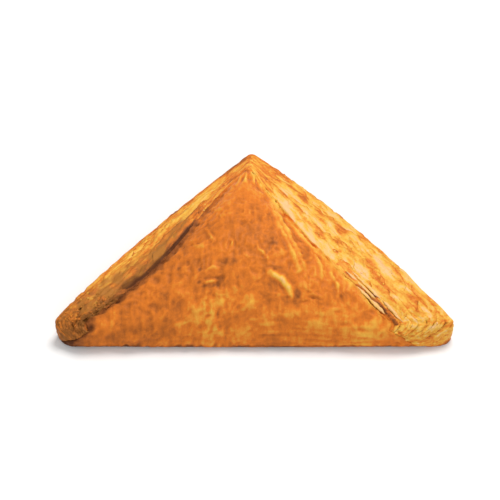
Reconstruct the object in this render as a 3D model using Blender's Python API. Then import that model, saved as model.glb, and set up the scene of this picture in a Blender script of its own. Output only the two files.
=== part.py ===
"""A tuna puff: a square of puff pastry folded corner to corner over its filling, and baked.

The fold is the long straight side, at -Y. The two shorter sides are the cut edges of the
square, where the leaves of the pastry have opened into steps, and they meet at the tip, at +Y.
The pastry is closed all round, so it is one solid, with its flakes and wrinkles in relief.

Metres, +Z up. The origin is the middle of the underside's bounding box.
Run it with: blender --background --python part.py
"""

import math
import random
from collections import namedtuple

import bmesh
import bpy
from mathutils import Matrix, Vector, noise

MM = 0.001

# The rim: the outer edge seen from above, a right-angled triangle with rounded corners.
# Its sharp corners, before rounding, are given from the middle of the fold.
RIM_LEFT = Vector((-72.4, 0.0)) * MM
RIM_RIGHT = Vector((75.6, 0.0)) * MM
RIM_TIP = Vector((1.1, 79.9)) * MM
CORNER_RADIUS = 3.2 * MM
TIP_RADIUS = 3.0 * MM
RIM_BOW_LEFT = 0.3 * MM
RIM_BOW_RIGHT = 2.0 * MM
RIM_HEIGHT = 10.5 * MM
RIM_TIP_HEIGHT = 10.5 * MM
RIM_ARCH = 1.2 * MM

# The ridge: the edge of the top sheet, inside the rim on the cut sides. The sheet is drawn in
# over the filling, so its sides bow inwards. Its ends wrap down over the fold, and along the
# fold, where the pastry is whole, it is only the line at which the mound begins.
RIDGE_LEFT = Vector((-61.5, 0.8)) * MM
RIDGE_RIGHT = Vector((55.5, 0.8)) * MM
RIDGE_TIP = Vector((-1.2, 68.0)) * MM
RIDGE_RADIUS = 1.5 * MM
RIDGE_BOW_LEFT = -4.3 * MM
RIDGE_BOW_RIGHT = -5.0 * MM
RIDGE_BOW_FOLD = -6.5 * MM
RIDGE_END_HEIGHT = 8.0 * MM
RIDGE_TIP_HEIGHT = 16.0 * MM
RIDGE_ARCH = 6.8 * MM
RIDGE_SKEW = 0.75

# The mound that the filling raises: how far it stands above the ridge on either side.
MOUND = 7.0 * MM
MOUND_CENTRE = Vector((-1.5, 32.0)) * MM
MOUND_SKEW = 0.95
CROWN_POWER = 2.2

# The foot: the edge of the flat underside, inside the rim all round. It stands in furthest at
# the two front corners, which have curled up off the floor a little.
FOOT_LEFT = Vector((-71.2, 1.3)) * MM
FOOT_RIGHT = Vector((75.0, 1.3)) * MM
FOOT_TIP = Vector((1.1, 77.2)) * MM
FOOT_RADIUS = 4.2 * MM

# The fold's rounded front, as control points of a curve: how far behind the rim, and how high.
# The curve starts on the foot, and meets the mound at the ridge in line with its slope.
FOLD_PROFILE = ((-1.3 * MM, 0.1 * MM), (-1.0 * MM, 4.5 * MM))
FOLD_SLOPE_REACH = 5.0 * MM
FOLD_WALL_SHARE = 0.6

# The leaves of the cut sides: upright ones in the rim, and stepped ones from there to the ridge.
WALL_LEAVES = 4
WALL_LIP = 0.5 * MM
WALL_LEAN = 0.6 * MM
WALL_ROUNDING = 2.5
STEP_LEAVES = 5
TREAD_SHARE = 0.8
TREAD_FALL = 0.75
STEP_OVERHANG = 0.5 * MM
STEP_WELT = 0.25 * MM
STEP_GROOVE = 0.35 * MM
STEP_FULL_HEIGHT = 4.0 * MM
RAGGED_PUSH = 0.9 * MM
RAGGED_WAVE = 6.0 * MM
SHEET_UNDERCUT_LEFT = 1.6 * MM
SHEET_UNDERCUT_RIGHT = 0.7 * MM
SHEET_THICKNESS = 0.8 * MM
SHEET_CURL = 0.4 * MM
SHEET_EDGE_SHARE = 0.985

# How finely the pastry is cut.
FOLD_STEPS = 38
CORNER_STEPS = 8
CORNER_STEPS_TO_CUT = 5
CUT_STEPS = 46
TIP_STEPS = 4
TOP_RINGS = (0.04, 0.12, 0.24, 0.4, 0.58, 0.76, 0.9)

# The flakes that have lifted off the steps: how many a side, from where to where they lie, how
# far up the steps, and the least and most of each size.
FLAKES_LEFT = 6
FLAKES_RIGHT = 9
FLAKES_FROM = 13.0 * MM
FLAKES_TO = 62.0 * MM
FLAKE_RISE = (0.2, 0.85)
FLAKE_LENGTH = (11.0 * MM, 24.0 * MM)
FLAKE_WIDTH = (2.0 * MM, 3.6 * MM)
FLAKE_THICKNESS = 0.7 * MM
FLAKE_LIFT = (0.4 * MM, 1.1 * MM)
FLAKE_TAPER = 0.85
FLAKE_TAPER_POWER = 1.7
FLAKE_DROOP = 0.4
FLAKE_RAGGED = 0.35
FLAKE_SEED = 5

# The wrinkles of the top sheet, each a rounded welt along points of the plan.
WRINKLES = (
    ((4.6, 55.0), (7.6, 48.0), (10.4, 39.6), (14.2, 30.0), (16.9, 23.4), (19.0, 17.4)),
    ((3.0, 52.0), (5.6, 43.0), (9.0, 34.0), (12.4, 26.5), (15.0, 20.0)),
    ((6.6, 16.6), (9.9, 15.6), (12.4, 13.2), (13.8, 10.4), (14.1, 7.8)),
    ((-0.9, 62.0), (-0.4, 58.6), (0.2, 55.0)),
)
WRINKLE_RADIUS = 1.5 * MM
WRINKLE_SINK = 1.0 * MM
WRINKLE_END = 0.45

CRUST_COLOUR = (0.72, 0.26, 0.04, 1.0)

Station = namedtuple("Station", "foot rim ridge cut left")


def ease(share):
    """A smooth step from 0 to 1."""
    share = min(1.0, max(0.0, share))
    return share * share * (3.0 - 2.0 * share)


def arched(start, end, arch, share, skew=1.0):
    """A height that goes from start to end as share goes from 0 to 1, and arches over between."""
    share = min(1.0, max(0.0, share))
    return start + (end - start) * share + arch * math.sin(math.pi * share**skew)


def lifted(place, height):
    """The point at a height over a point of the plan."""
    return Vector((place.x, place.y, height))


def rounded_corner(corner, before, after, radius, steps):
    """The arc that rounds the corner between the sides to before and after, ends included."""
    to_before = (before - corner).normalized()
    to_after = (after - corner).normalized()
    half_angle = to_before.angle(to_after) / 2
    centre = corner + (to_before + to_after).normalized() * (radius / math.sin(half_angle))
    start = corner + to_before * (radius / math.tan(half_angle)) - centre
    turn = math.pi - 2 * half_angle
    return [centre + Matrix.Rotation(turn * step / steps, 2) @ start for step in range(steps + 1)]


def bowed_side(start, end, steps, bow):
    """The points strictly between two corners, bowed outwards. The outline runs anticlockwise."""
    along = end - start
    outward = Vector((along.y, -along.x)).normalized()
    shares = [step / steps for step in range(1, steps)]
    return [start + along * share + outward * (bow * math.sin(math.pi * share)) for share in shares]


def outline(corners, radii, bows):
    """A rounded triangle, anticlockwise from the left end of the fold.

    The corners and radii are those at the left, at the right and at the tip. The bows are
    those of the fold and of the cut sides at the right and the left.
    """
    left, right, tip = corners
    right_arc = rounded_corner(right, left, tip, radii[1], CORNER_STEPS)
    tip_arc = rounded_corner(tip, right, left, radii[2], TIP_STEPS)
    left_arc = rounded_corner(left, tip, right, radii[0], CORNER_STEPS)
    return (
        bowed_side(left_arc[-1], right_arc[0], FOLD_STEPS, bows[0])
        + right_arc
        + bowed_side(right_arc[-1], tip_arc[0], CUT_STEPS, bows[1])
        + tip_arc
        + bowed_side(tip_arc[-1], left_arc[0], CUT_STEPS, bows[2])
        + left_arc
    )


def stations():
    """The stations round the puff: each has its points on the foot, the rim and the ridge.

    The share named cut is 0 on the fold and 1 on the cut sides, and eases over at each corner.
    """
    foot = outline(
        (FOOT_LEFT, FOOT_RIGHT, FOOT_TIP),
        (FOOT_RADIUS, FOOT_RADIUS, TIP_RADIUS),
        (0.0, RIM_BOW_RIGHT, RIM_BOW_LEFT),
    )
    rim = outline(
        (RIM_LEFT, RIM_RIGHT, RIM_TIP),
        (CORNER_RADIUS, CORNER_RADIUS, TIP_RADIUS),
        (0.0, RIM_BOW_RIGHT, RIM_BOW_LEFT),
    )
    ridge = outline(
        (RIDGE_LEFT, RIDGE_RIGHT, RIDGE_TIP),
        (RIDGE_RADIUS, RIDGE_RADIUS, RIDGE_RADIUS),
        (RIDGE_BOW_FOLD, RIDGE_BOW_RIGHT, RIDGE_BOW_LEFT),
    )
    corner = [ease(step / CORNER_STEPS_TO_CUT) for step in range(CORNER_STEPS + 1)]
    cuts = [1.0] * (2 * (CUT_STEPS - 1) + TIP_STEPS + 1)
    shares = [0.0] * (FOLD_STEPS - 1) + corner + cuts + corner[::-1]
    return [
        Station(foot[i], rim[i], ridge[i], cut, rim[i].x < RIM_TIP.x)
        for i, cut in enumerate(shares)
    ]


def rim_height(station):
    """The rim's height: it rises from the corners to the middle of each cut side."""
    return arched(RIM_HEIGHT, RIM_TIP_HEIGHT, RIM_ARCH, station.rim.y / RIM_TIP.y)


def ridge_height(place):
    """The ridge's height, level with a point of the plan: it rises from its ends, and dips to its tip."""
    share = place.y / RIDGE_TIP.y
    return arched(RIDGE_END_HEIGHT, RIDGE_TIP_HEIGHT, RIDGE_ARCH, share, RIDGE_SKEW)


def ridge_sides(place):
    """Where the ridge runs to the left and to the right, level with a point of the plan."""
    share = min(1.0, max(0.0, place.y / RIDGE_TIP.y))
    bow = math.sqrt(2) * math.sin(math.pi * share)
    left = RIDGE_LEFT.lerp(RIDGE_TIP, share).x - RIDGE_BOW_LEFT * bow
    right = RIDGE_RIGHT.lerp(RIDGE_TIP, share).x + RIDGE_BOW_RIGHT * bow
    return left, right


def top_height(place):
    """The top sheet's height over a point of the plan: the ridge's, and the mound between its sides."""
    left, right = ridge_sides(place)
    across = abs(2 * place.x - left - right) / max(right - left, RIDGE_RADIUS)
    crown = max(0.0, 1 - across**CROWN_POWER)
    return ridge_height(place) + crown * arched(0.0, 0.0, MOUND, place.y / RIDGE_TIP.y, MOUND_SKEW)


def fold_point(station, share):
    """A point of the fold's rounded front, from the foot, at 0, to the ridge, at 1."""
    end = station.ridge.y
    top = top_height(station.ridge)
    slope = (top_height(station.ridge + Vector((0, MM))) - top) / MM
    front = [(station.rim.y + behind, height) for behind, height in FOLD_PROFILE]
    reach = min(FOLD_SLOPE_REACH / math.hypot(1, slope), max(0.0, end - front[-1][0]))
    controls = [(station.foot.y, 0.0), *front, (end - reach, top - reach * slope), (end, top)]
    degree = len(controls) - 1
    behind = 0.0
    height = 0.0
    for i, (control_behind, control_height) in enumerate(controls):
        weight = math.comb(degree, i) * share**i * (1 - share) ** (degree - i)
        behind += weight * control_behind
        height += weight * control_height
    across = station.rim.x + (station.ridge.x - station.rim.x) * share
    across += (station.foot.x - station.rim.x) * max(0.0, 1 - share / FOLD_WALL_SHARE) ** 2
    return Vector((across, behind, height))


def ragged(station, leaf):
    """How far one leaf's edge sticks out or falls short, at one station."""
    place = lifted(station.rim / RAGGED_WAVE, 7.3 * leaf)
    return RAGGED_PUSH * noise.noise(place)


def wall_point(station, share, push):
    """A point of the rim's side, from the foot, at 0, to the rim, at 1, pushed outwards by a leaf."""
    outward = (station.rim - station.ridge).normalized()
    place = station.rim.lerp(station.foot, (1 - share) ** WALL_ROUNDING)
    return lifted(place + outward * (push - WALL_LEAN * share), rim_height(station) * share)


def step_lift(station):
    """How much room the steps have to open in: 0 where the ridge is no higher than the rim, up to 1."""
    return ease((ridge_height(station.ridge) - rim_height(station)) / STEP_FULL_HEIGHT)


def step_point(station, share, rise, push):
    """A point of the steps, pushed outwards by a leaf.

    From 0 to 1, share runs from the rim to the ridge, and rise from the one's height to the other's.
    """
    across = station.ridge - station.rim
    start = station.rim + across.normalized() * WALL_LEAN
    place = start.lerp(station.ridge, share) - across.normalized() * (push * step_lift(station))
    low = rim_height(station)
    return lifted(place, low + (ridge_height(station.ridge) - low) * rise)


def wall_rows(ring):
    """The rows of the rim, from the underside up."""
    sections = []
    for row in range(2 * WALL_LEAVES):
        share = row / (2 * WALL_LEAVES)
        lip = WALL_LIP if row % 2 else -WALL_LIP
        section = []
        for station in ring:
            push = lip + ragged(station, row // 2) if row else 0.0
            leafy = wall_point(station, share, push)
            section.append(fold_point(station, FOLD_WALL_SHARE * share).lerp(leafy, station.cut))
        sections.append(section)
    return sections


def step_rows(ring):
    """The rows of the steps, two to a leaf: its edge, and the foot of the next leaf's edge."""
    sections = []
    for row in range(2 * STEP_LEAVES):
        leaf = row // 2
        foot = row % 2 == 1
        share = (leaf + TREAD_SHARE * foot) / STEP_LEAVES
        fold_share = FOLD_WALL_SHARE + (1 - FOLD_WALL_SHARE) * share
        section = []
        for station in ring:
            push = ragged(station, WALL_LEAVES + leaf) + (0.0 if foot else STEP_OVERHANG)
            if row == 2 * STEP_LEAVES - 1:
                push -= SHEET_UNDERCUT_LEFT if station.left else SHEET_UNDERCUT_RIGHT
            lift = step_lift(station)
            fall = TREAD_FALL * lift * foot / STEP_LEAVES
            relief = Vector((0, 0, -STEP_GROOVE if foot else STEP_WELT)) * lift
            leafy = step_point(station, share, share - fall, push) + relief
            section.append(fold_point(station, fold_share).lerp(leafy, station.cut))
        sections.append(section)
    return sections


def sheet_rows(ring):
    """The rows of the top sheet: the lower and the upper edge of its ragged rim, then inwards."""
    lower = []
    upper = []
    for station in ring:
        push = ragged(station, WALL_LEAVES + STEP_LEAVES)
        curl = Vector((0, 0, SHEET_CURL * step_lift(station)))
        drop = Vector((0, 0, SHEET_THICKNESS * step_lift(station)))
        under = step_point(station, SHEET_EDGE_SHARE, SHEET_EDGE_SHARE, push) + curl - drop
        edge = step_point(station, 1.0, 1.0, push) + curl
        lower.append(fold_point(station, SHEET_EDGE_SHARE).lerp(under, station.cut))
        upper.append(fold_point(station, 1.0).lerp(edge, station.cut))
    sections = [lower, upper]
    for share in TOP_RINGS:
        section = []
        for station in ring:
            place = station.ridge.lerp(MOUND_CENTRE, share)
            section.append(lifted(place, top_height(place)))
        sections.append(section)
    return sections


def mesh_object(name, bm, collection):
    """A new object in the collection, from a bmesh, which is freed."""
    mesh = bpy.data.meshes.new(name)
    bm.to_mesh(mesh)
    bm.free()
    obj = bpy.data.objects.new(name, mesh)
    collection.objects.link(obj)
    return obj


def add_pastry(ring, collection):
    """The pastry: a sphere whose rings are moved to the rows, from the underside up."""
    sections = wall_rows(ring) + step_rows(ring) + sheet_rows(ring)
    columns = len(ring)
    rows = len(sections) + 1
    bm = bmesh.new()
    bmesh.ops.create_uvsphere(bm, u_segments=columns, v_segments=rows, radius=1.0)
    for vertex in bm.verts:
        height = min(1.0, max(-1.0, vertex.co.z))
        row = round(rows * (1 - math.acos(height) / math.pi))
        column = round(columns * math.atan2(vertex.co.y, vertex.co.x) / math.tau) % columns
        if row == 0:
            vertex.co = lifted(MOUND_CENTRE, 0.0)
        elif row == rows:
            vertex.co = lifted(MOUND_CENTRE, top_height(MOUND_CENTRE))
        else:
            vertex.co = sections[row - 1][column]
    return mesh_object("puff", bm, collection)


def add_flake(station, along, rise, draw, collection):
    """A thin curled leaf on the steps, with its outer edge lifted off them."""
    length = draw.uniform(*FLAKE_LENGTH)
    width = draw.uniform(*FLAKE_WIDTH)
    lift = draw.uniform(*FLAKE_LIFT)
    base = step_point(station, rise, rise, 0.0)
    slope = step_point(station, 0.0, 0.0, 0.0) - step_point(station, 1.0, 1.0, 0.0)
    downhill = (slope - along * slope.dot(along)).normalized()
    bm = bmesh.new()
    bmesh.ops.create_grid(bm, x_segments=8, y_segments=2, size=1.0)
    for vertex in bm.verts:
        end, edge = vertex.co.x, vertex.co.y
        unevenness = 1 + FLAKE_RAGGED * noise.noise(Vector((3.0 * end, edge, station.rim.x / MM)))
        taper = 1 - FLAKE_TAPER * abs(end) ** FLAKE_TAPER_POWER
        out = edge * width / 2 * taper * unevenness
        up = lift * ease((edge + 1) / 2) * (1 - FLAKE_DROOP * end * end) - FLAKE_THICKNESS / 2
        vertex.co = base + along * (end * length / 2) + downhill * out + Vector((0, 0, up))
    bmesh.ops.solidify(bm, geom=bm.faces[:], thickness=-FLAKE_THICKNESS)
    bmesh.ops.recalc_face_normals(bm, faces=bm.faces[:])
    return mesh_object("flake", bm, collection)


def add_flakes(ring, collection):
    """The flakes, scattered evenly along each cut side."""
    draw = random.Random(FLAKE_SEED)
    for left, count in ((False, FLAKES_RIGHT), (True, FLAKES_LEFT)):
        side = [s for s in ring if s.left == left and FLAKES_FROM < s.rim.y < FLAKES_TO]
        along = (side[-1].rim - side[0].rim).normalized().to_3d()
        for number in range(count):
            share = (number + draw.uniform(0.25, 0.75)) / count
            station = side[int(share * len(side))]
            add_flake(station, along, draw.uniform(*FLAKE_RISE), draw, collection)


def add_wrinkle(points, collection):
    """A welt along points of the plan: a round tube, tapered at its ends, that lies half in the sheet."""
    curve = bpy.data.curves.new("wrinkle", "CURVE")
    curve.dimensions = "3D"
    curve.bevel_depth = WRINKLE_RADIUS
    curve.bevel_resolution = 2
    curve.resolution_u = 2
    curve.use_fill_caps = True
    spline = curve.splines.new("NURBS")
    spline.points.add(len(points) - 1)
    spline.order_u = 3
    spline.use_endpoint_u = True
    for i, (x, y) in enumerate(points):
        place = Vector((x, y)) * MM
        spline.points[i].co = (*lifted(place, top_height(place) - WRINKLE_SINK), 1.0)
        swell = math.sin(math.pi * i / (len(points) - 1))
        spline.points[i].radius = WRINKLE_END + (1 - WRINKLE_END) * swell
    tube = bpy.data.objects.new("wrinkle_curve", curve)
    collection.objects.link(tube)
    bpy.context.view_layer.update()
    evaluated = tube.evaluated_get(bpy.context.evaluated_depsgraph_get())
    bm = bmesh.new()
    bm.from_mesh(evaluated.to_mesh())
    evaluated.to_mesh_clear()
    bmesh.ops.remove_doubles(bm, verts=bm.verts[:], dist=0.0001 * MM)
    bmesh.ops.recalc_face_normals(bm, faces=bm.faces[:])
    bpy.data.objects.remove(tube)
    return mesh_object("wrinkle", bm, collection)


def fuse(obj, collection):
    """Joins the collection's objects to obj in one Boolean union, and removes them.

    The solver is MANIFOLD, because the leaves' edges cross where the steps are narrow.
    """
    union = obj.modifiers.new("relief", "BOOLEAN")
    union.operation = "UNION"
    union.operand_type = "COLLECTION"
    union.collection = collection
    union.solver = "MANIFOLD"
    bpy.context.view_layer.update()
    evaluated = obj.evaluated_get(bpy.context.evaluated_depsgraph_get())
    fused = bpy.data.meshes.new_from_object(evaluated)
    obj.modifiers.remove(union)
    obj.data = fused
    for piece in list(collection.objects):
        bpy.data.objects.remove(piece)
    bpy.data.collections.remove(collection)


def keep_largest_surface(obj):
    """Fills the hollows that fusing has sealed, and drops loose scraps: only the largest closed surface stays."""
    bm = bmesh.new()
    bm.from_mesh(obj.data)
    unseen = set(bm.verts)
    surfaces = []
    while unseen:
        frontier = [unseen.pop()]
        surface = set(frontier)
        while frontier:
            reached = {v for edge in frontier.pop().link_edges for v in edge.verts} & unseen
            unseen -= reached
            surface |= reached
            frontier.extend(reached)
        surfaces.append(surface)
    largest = max(surfaces, key=len)
    bmesh.ops.delete(bm, geom=[v for v in bm.verts if v not in largest], context="VERTS")
    bm.to_mesh(obj.data)
    bm.free()


def crust_material():
    """Egg-washed pastry."""
    material = bpy.data.materials.new("golden_crust")
    material.use_nodes = True
    shader = material.node_tree.nodes["Principled BSDF"]
    shader.inputs["Base Color"].default_value = CRUST_COLOUR
    shader.inputs["Roughness"].default_value = 0.45
    shader.inputs["Metallic"].default_value = 0.0
    return material


def centre_on_box(obj):
    """Moves the mesh so that the origin is the middle of the box's underside."""
    points = [vertex.co for vertex in obj.data.vertices]
    low = Vector(min(point[axis] for point in points) for axis in range(3))
    high = Vector(max(point[axis] for point in points) for axis in range(3))
    middle = (low + high) / 2
    obj.data.transform(Matrix.Translation((-middle.x, -middle.y, -low.z)))


def main():
    for obj in list(bpy.data.objects):
        bpy.data.objects.remove(obj)
    collection = bpy.data.collections.new("tuna_puff")
    bpy.context.scene.collection.children.link(collection)
    relief = bpy.data.collections.new("relief")
    bpy.context.scene.collection.children.link(relief)

    ring = stations()
    puff = add_pastry(ring, collection)
    add_flakes(ring, relief)
    for points in WRINKLES:
        add_wrinkle(points, relief)
    fuse(puff, relief)
    keep_largest_surface(puff)
    centre_on_box(puff)
    puff.data.materials.clear()
    puff.data.materials.append(crust_material())
    puff.data.shade_smooth()
    puff.data.set_sharp_from_angle(angle=math.radians(35))


main()
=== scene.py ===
"""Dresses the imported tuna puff: a glazed top sheet over a body of flaky leaves, on a pale floor.

Lengths are in metres, +Z up. The fold is at -Y, and the two cut sides meet at the tip, at +Y.
"""

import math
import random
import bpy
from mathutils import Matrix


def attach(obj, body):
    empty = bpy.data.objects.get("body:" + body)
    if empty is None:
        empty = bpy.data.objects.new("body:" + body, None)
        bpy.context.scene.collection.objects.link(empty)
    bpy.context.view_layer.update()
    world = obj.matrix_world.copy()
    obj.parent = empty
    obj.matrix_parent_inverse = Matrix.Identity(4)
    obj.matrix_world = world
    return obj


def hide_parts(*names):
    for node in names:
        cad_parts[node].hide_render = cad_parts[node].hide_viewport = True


bl_info = {
    "name": "Tuna Puff",
    "version": (1, 0, 0),
    "blender": (4, 5, 0),
    "location": "View3D > Sidebar > Puff",
    "description": "Builds the crust, leaves, shards and crumbs of a baked pastry triangle",
    "category": "Add Mesh",
}

from collections import namedtuple

import bmesh
import bpy
from bpy.props import FloatProperty, FloatVectorProperty, IntProperty, PointerProperty
from mathutils import Matrix, Vector, noise

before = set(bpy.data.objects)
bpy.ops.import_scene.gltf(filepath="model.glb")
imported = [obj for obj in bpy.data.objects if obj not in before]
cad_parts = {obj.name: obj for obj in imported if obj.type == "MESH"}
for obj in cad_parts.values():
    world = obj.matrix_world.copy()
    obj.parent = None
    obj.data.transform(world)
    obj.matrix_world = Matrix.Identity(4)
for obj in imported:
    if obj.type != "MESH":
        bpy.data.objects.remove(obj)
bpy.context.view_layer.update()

MM = 0.001
BODY = "root"
NODE = "puff"

# The puff is drawn from the middle of its fold and the front of its rim, and is then moved so
# that the middle of its box is over the origin.
MIDDLE = Vector((1.387, 38.91)) * MM

# The rim: the outer edge seen from above. It drops towards the fold's corners.
RIM_LEFT = Vector((-72.4, 0.0)) * MM
RIM_RIGHT = Vector((76.4, 0.0)) * MM
RIM_TIP = Vector((1.7, 78.8)) * MM
CORNER_RADIUS_LEFT = 3.9 * MM
CORNER_RADIUS_RIGHT = 3.2 * MM
TIP_RADIUS = 1.7 * MM
RIM_BOW_FOLD = 0.45 * MM
RIM_BOW_LEFT = 0.8 * MM
RIM_BOW_RIGHT = 2.0 * MM
RIM_HEIGHT = 10.5 * MM
RIM_ARCH = 1.2 * MM
CORNER_DROP_LEFT = 2.8 * MM
CORNER_DROP_RIGHT = 1.6 * MM
CORNER_DROP_REACH = 14.0 * MM

# The ridge: the edge of the top sheet, inside the rim on the cut sides. A bow is how far a side
# curves outwards, and the lean moves its halves opposite ways.
RIDGE_LEFT = Vector((-58.6, 0.8)) * MM
RIDGE_RIGHT = Vector((52.5, 0.8)) * MM
RIDGE_TIP = Vector((0.2, 68.0)) * MM
RIDGE_RADIUS = 1.5 * MM
RIDGE_BOW_LEFT = -5.5 * MM
RIDGE_LEAN_LEFT = 1.5 * MM
RIDGE_BOW_RIGHT = -4.3 * MM
RIDGE_BOW_FOLD = -6.5 * MM
RIDGE_END_HEIGHT = 8.0 * MM
RIDGE_TIP_HEIGHT = 16.0 * MM
RIDGE_ARCH = 6.8 * MM
RIDGE_SKEW = 0.75

# The mound that the filling raises: its height over the ridge, and its middle.
MOUND = 7.0 * MM
MOUND_CENTRE = Vector((-1.5, 32.0)) * MM
MOUND_SKEW = 0.95
CROWN_POWER = 2.2

# The foot: the edge of the flat underside.
FOOT_LEFT = Vector((-71.2, 1.1)) * MM
FOOT_RIGHT = Vector((75.6, 1.1)) * MM
FOOT_TIP = Vector((1.7, 76.6)) * MM

# The fold's rounded front, as control points of a curve: how far each is behind the rim, and its
# height. The last part of the curve follows the mound's slope, and the part up to FOLD_FOOT_SHARE
# follows the foot from side to side.
FOLD_PROFILE = ((-1.4 * MM, 0.7 * MM), (-1.0 * MM, 4.5 * MM))
FOLD_SLOPE_REACH = 5.0 * MM
FOLD_FOOT_SHARE = 0.6

# The share of the way from the foot to the ridge at which a cut side's rim lies, and how sharply
# its wall turns in to the foot.
WALL_SHARE = 0.42
WALL_ROUNDING = 2.5

# How finely the body is cut, round and inwards. The fold turns into a cut side over the first
# CORNER_TURN of a corner. Along the cut sides a station is taken to be STATION_STEP millimetres
# from the next. The TOP_RINGS lie under the top sheet, at these shares of the way to the middle
# of the mound.
FOLD_STEPS = 150
CORNER_STEPS = 26
CORNER_TURN = 0.85
CUT_STEPS = 270
TIP_STEPS = 12
STATION_STEP = 0.37
TOP_RINGS = (0.06, 0.3, 0.65)

# The leaves of the body, in the rim and on the slope above it. The rows of one leaf start in the
# groove under it: where a row is in the leaf's width, how far it stands out, and how baked it is,
# with the groove and the lip's underside painted darker as shade under the lip.
WALL_LEAVES = 4
SLOPE_LEAVES = 9
LEAF_LIP = 0.3 * MM
LEAF_GROOVE = -0.4 * MM
LEAF_ROWS = (
    (0.10, LEAF_GROOVE, 0.5),
    (-0.04, LEAF_LIP * 0.5, 0.3),
    (0.06, LEAF_LIP, 0.16),
    (0.36, LEAF_LIP * 0.3, 0.12),
    (0.72, LEAF_GROOVE * 0.35, 0.16),
)
# How far a row wanders up and down, in leaves, and how ragged it is, less so in a groove. Each
# leaf's number shifts its noise by the seeds. No row is nearer the foot than LEAF_FIRST or
# nearer the ridge than LEAF_LAST, as shares of the way between them.
LEAF_WANDER = 0.45
LEAF_WANDER_WAVE = 13.0 * MM
LEAF_WANDER_SEED = 3.1
LEAF_RAGGED = 0.35 * MM
LEAF_RAGGED_WAVE = 3.6 * MM
LEAF_RAGGED_SEED = 5.7
GROOVE_RAGGED = 0.4
LEAF_FIRST = 0.012
LEAF_LAST = 0.985
# The leaves are flatter on the slope, from the rim up over SLOPE_REACH, and where they are rough,
# where they are less ragged too.
SLOPE_REACH = 0.2
SLOPE_FLAT = 0.5
ROUGH_FLAT = 0.85
ROUGH_EVEN = 0.7
# How far the body lies under the top sheet, and under the sheet's edge.
UNDER_SHEET = 1.5 * MM
UNDER_EDGE = 0.4 * MM
# How baked the body is underneath; how dark it is painted under the sheet's edge on the left and
# right, which is painted shadow of the sheet; and the painted contact shade added to its leaves
# at the foot, up to FOOT_RISE.
BAKE_UNDER = 0.62
EDGE_SHADOW_LEFT = 0.75
EDGE_SHADOW_RIGHT = 0.5
FOOT_SHADE = 0.22
FOOT_RISE = 2.6 * MM

# The grain of the cut sides: the length and width of a streak, how far the streaks sway and over
# which length, all in millimetres, then how far they are warped where the leaves are rough. The
# left side reads a layer of the noise of its own.
SIDE_STREAK_LONG = 6.5
SIDE_STREAK_WIDE = 1.25
SIDE_SWAY = 0.8
SIDE_SWAY_WAVE = 9.0
SIDE_WARP = 1.5
SIDE_WARP_WAVE = 1.9 * MM
SIDE_GRAIN_LEFT = 3.0

# The streaks and patches of the cut sides: strength, and scale on the grain or wave.
STREAK = 0.3
FINE_STREAK = 0.14
FINE_STREAK_SCALE = 2.1
PATCH = 0.15
PATCH_WAVE = 6.5 * MM
LONG_PATCH = 0.2
LONG_PATCH_SCALE = 0.55

# How baked each side is, the left darker than the right, partly browner and partly painted shade
# of the side that faces away from the key light, and what the streaks count for on the left. Then
# the grades that are added by the way up the leg: a strength, where it starts, and the reach over
# which it comes in, negative where it comes in downwards, both in millimetres. The left side is
# darker inwards too, partly browner and partly painted shade cast by the mound, in two zones, each
# a start and a reach: as shares inwards, and up the leg.
BAKE_RIGHT = 0.17
BAKE_AND_SHADE_LEFT = 0.38
STREAK_LEFT = 0.6
GRADES_RIGHT = ((0.17, 12.0, -9.0), (0.2, 62.0, 10.0))
GRADES_LEFT = ((0.4, 20.0, -14.0), (0.08, 7.0, -6.0), (0.05, 64.0, 8.0))
INNER_BROWN_AND_SHADE_LEFT = 0.22
INNER_ZONES = ((0.74, 0.14), (60.0, -20.0))

# Tones of the cut sides, right then left: a line of (height up the leg in millimetres, share
# inwards from the foot), its half width in millimetres, and how much darker it is, negative where
# paler. Some are the pastry's own colour, and some are painted light and shade, as marked below.
# A tone ends at TONE_END half widths from its line. A side is taken to be SIDE_DEEP millimetres
# from its foot to its ridge.
SIDE_DEEP = 25.0
TONE_END = 1.5
TONES_RIGHT = (
    (((33.5, 0.6), (26.2, 0.7), (17.5, 0.73)), 1.2, 0.2),
    (((13.5, 0.6), (9.5, 0.62)), 1.5, 0.16),
    (((8.0, 0.55), (5.0, 0.6)), 1.6, 0.14),
    (((64.5, 0.58), (59.0, 0.62)), 1.0, 0.06),
    (((53.0, 0.62), (47.0, 0.66)), 1.0, 0.06),
    (((44.5, 0.64), (40.5, 0.67)), 1.0, 0.07),
    (((31.5, 0.53), (23.0, 0.59)), 1.3, -0.24),
    (((50.5, 0.96), (43.5, 0.98)), 1.1, -0.16),
    (((42.0, 0.9), (35.5, 0.94)), 1.1, -0.2),
    (((30.0, 0.8), (24.5, 0.84)), 1.1, -0.18),
    (((60.0, 0.93), (54.0, 0.97)), 1.3, -0.3),
    # The next five lines are painted shadow: dark gaps under the curled right edge of the top sheet
    # and between the torn strands along it.
    (((22.0, 0.98), (12.0, 0.98), (4.0, 0.97)), 0.7, 0.28),
    (((13.5, 0.97), (9.5, 0.985)), 0.7, 0.25),
    (((28.0, 0.955), (16.0, 0.97), (4.0, 0.97)), 0.45, 0.24),
    (((26.0, 0.9), (16.0, 0.92), (5.0, 0.92)), 0.45, 0.2),
    (((20.5, 0.9), (16.5, 0.92)), 0.5, 0.35),
)
TONES_LEFT = (
    # The next two lines are the brown seam under the sheet's edge, partly browner pastry and partly
    # painted shadow of the sheet's edge and the mound.
    (((52.0, 1.0), (46.0, 0.99), (37.0, 0.97), (30.0, 0.91), (24.0, 0.88)), 1.7, 0.35),
    (((24.0, 0.88), (19.0, 0.92), (14.0, 0.97), (7.0, 0.95)), 1.8, 0.3),
    # Partly yellower pastry, partly painted light: the outer strip is paler where light grazes it.
    (((66.0, 0.6), (50.0, 0.56), (20.0, 0.5)), 2.6, -0.17),
)
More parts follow.
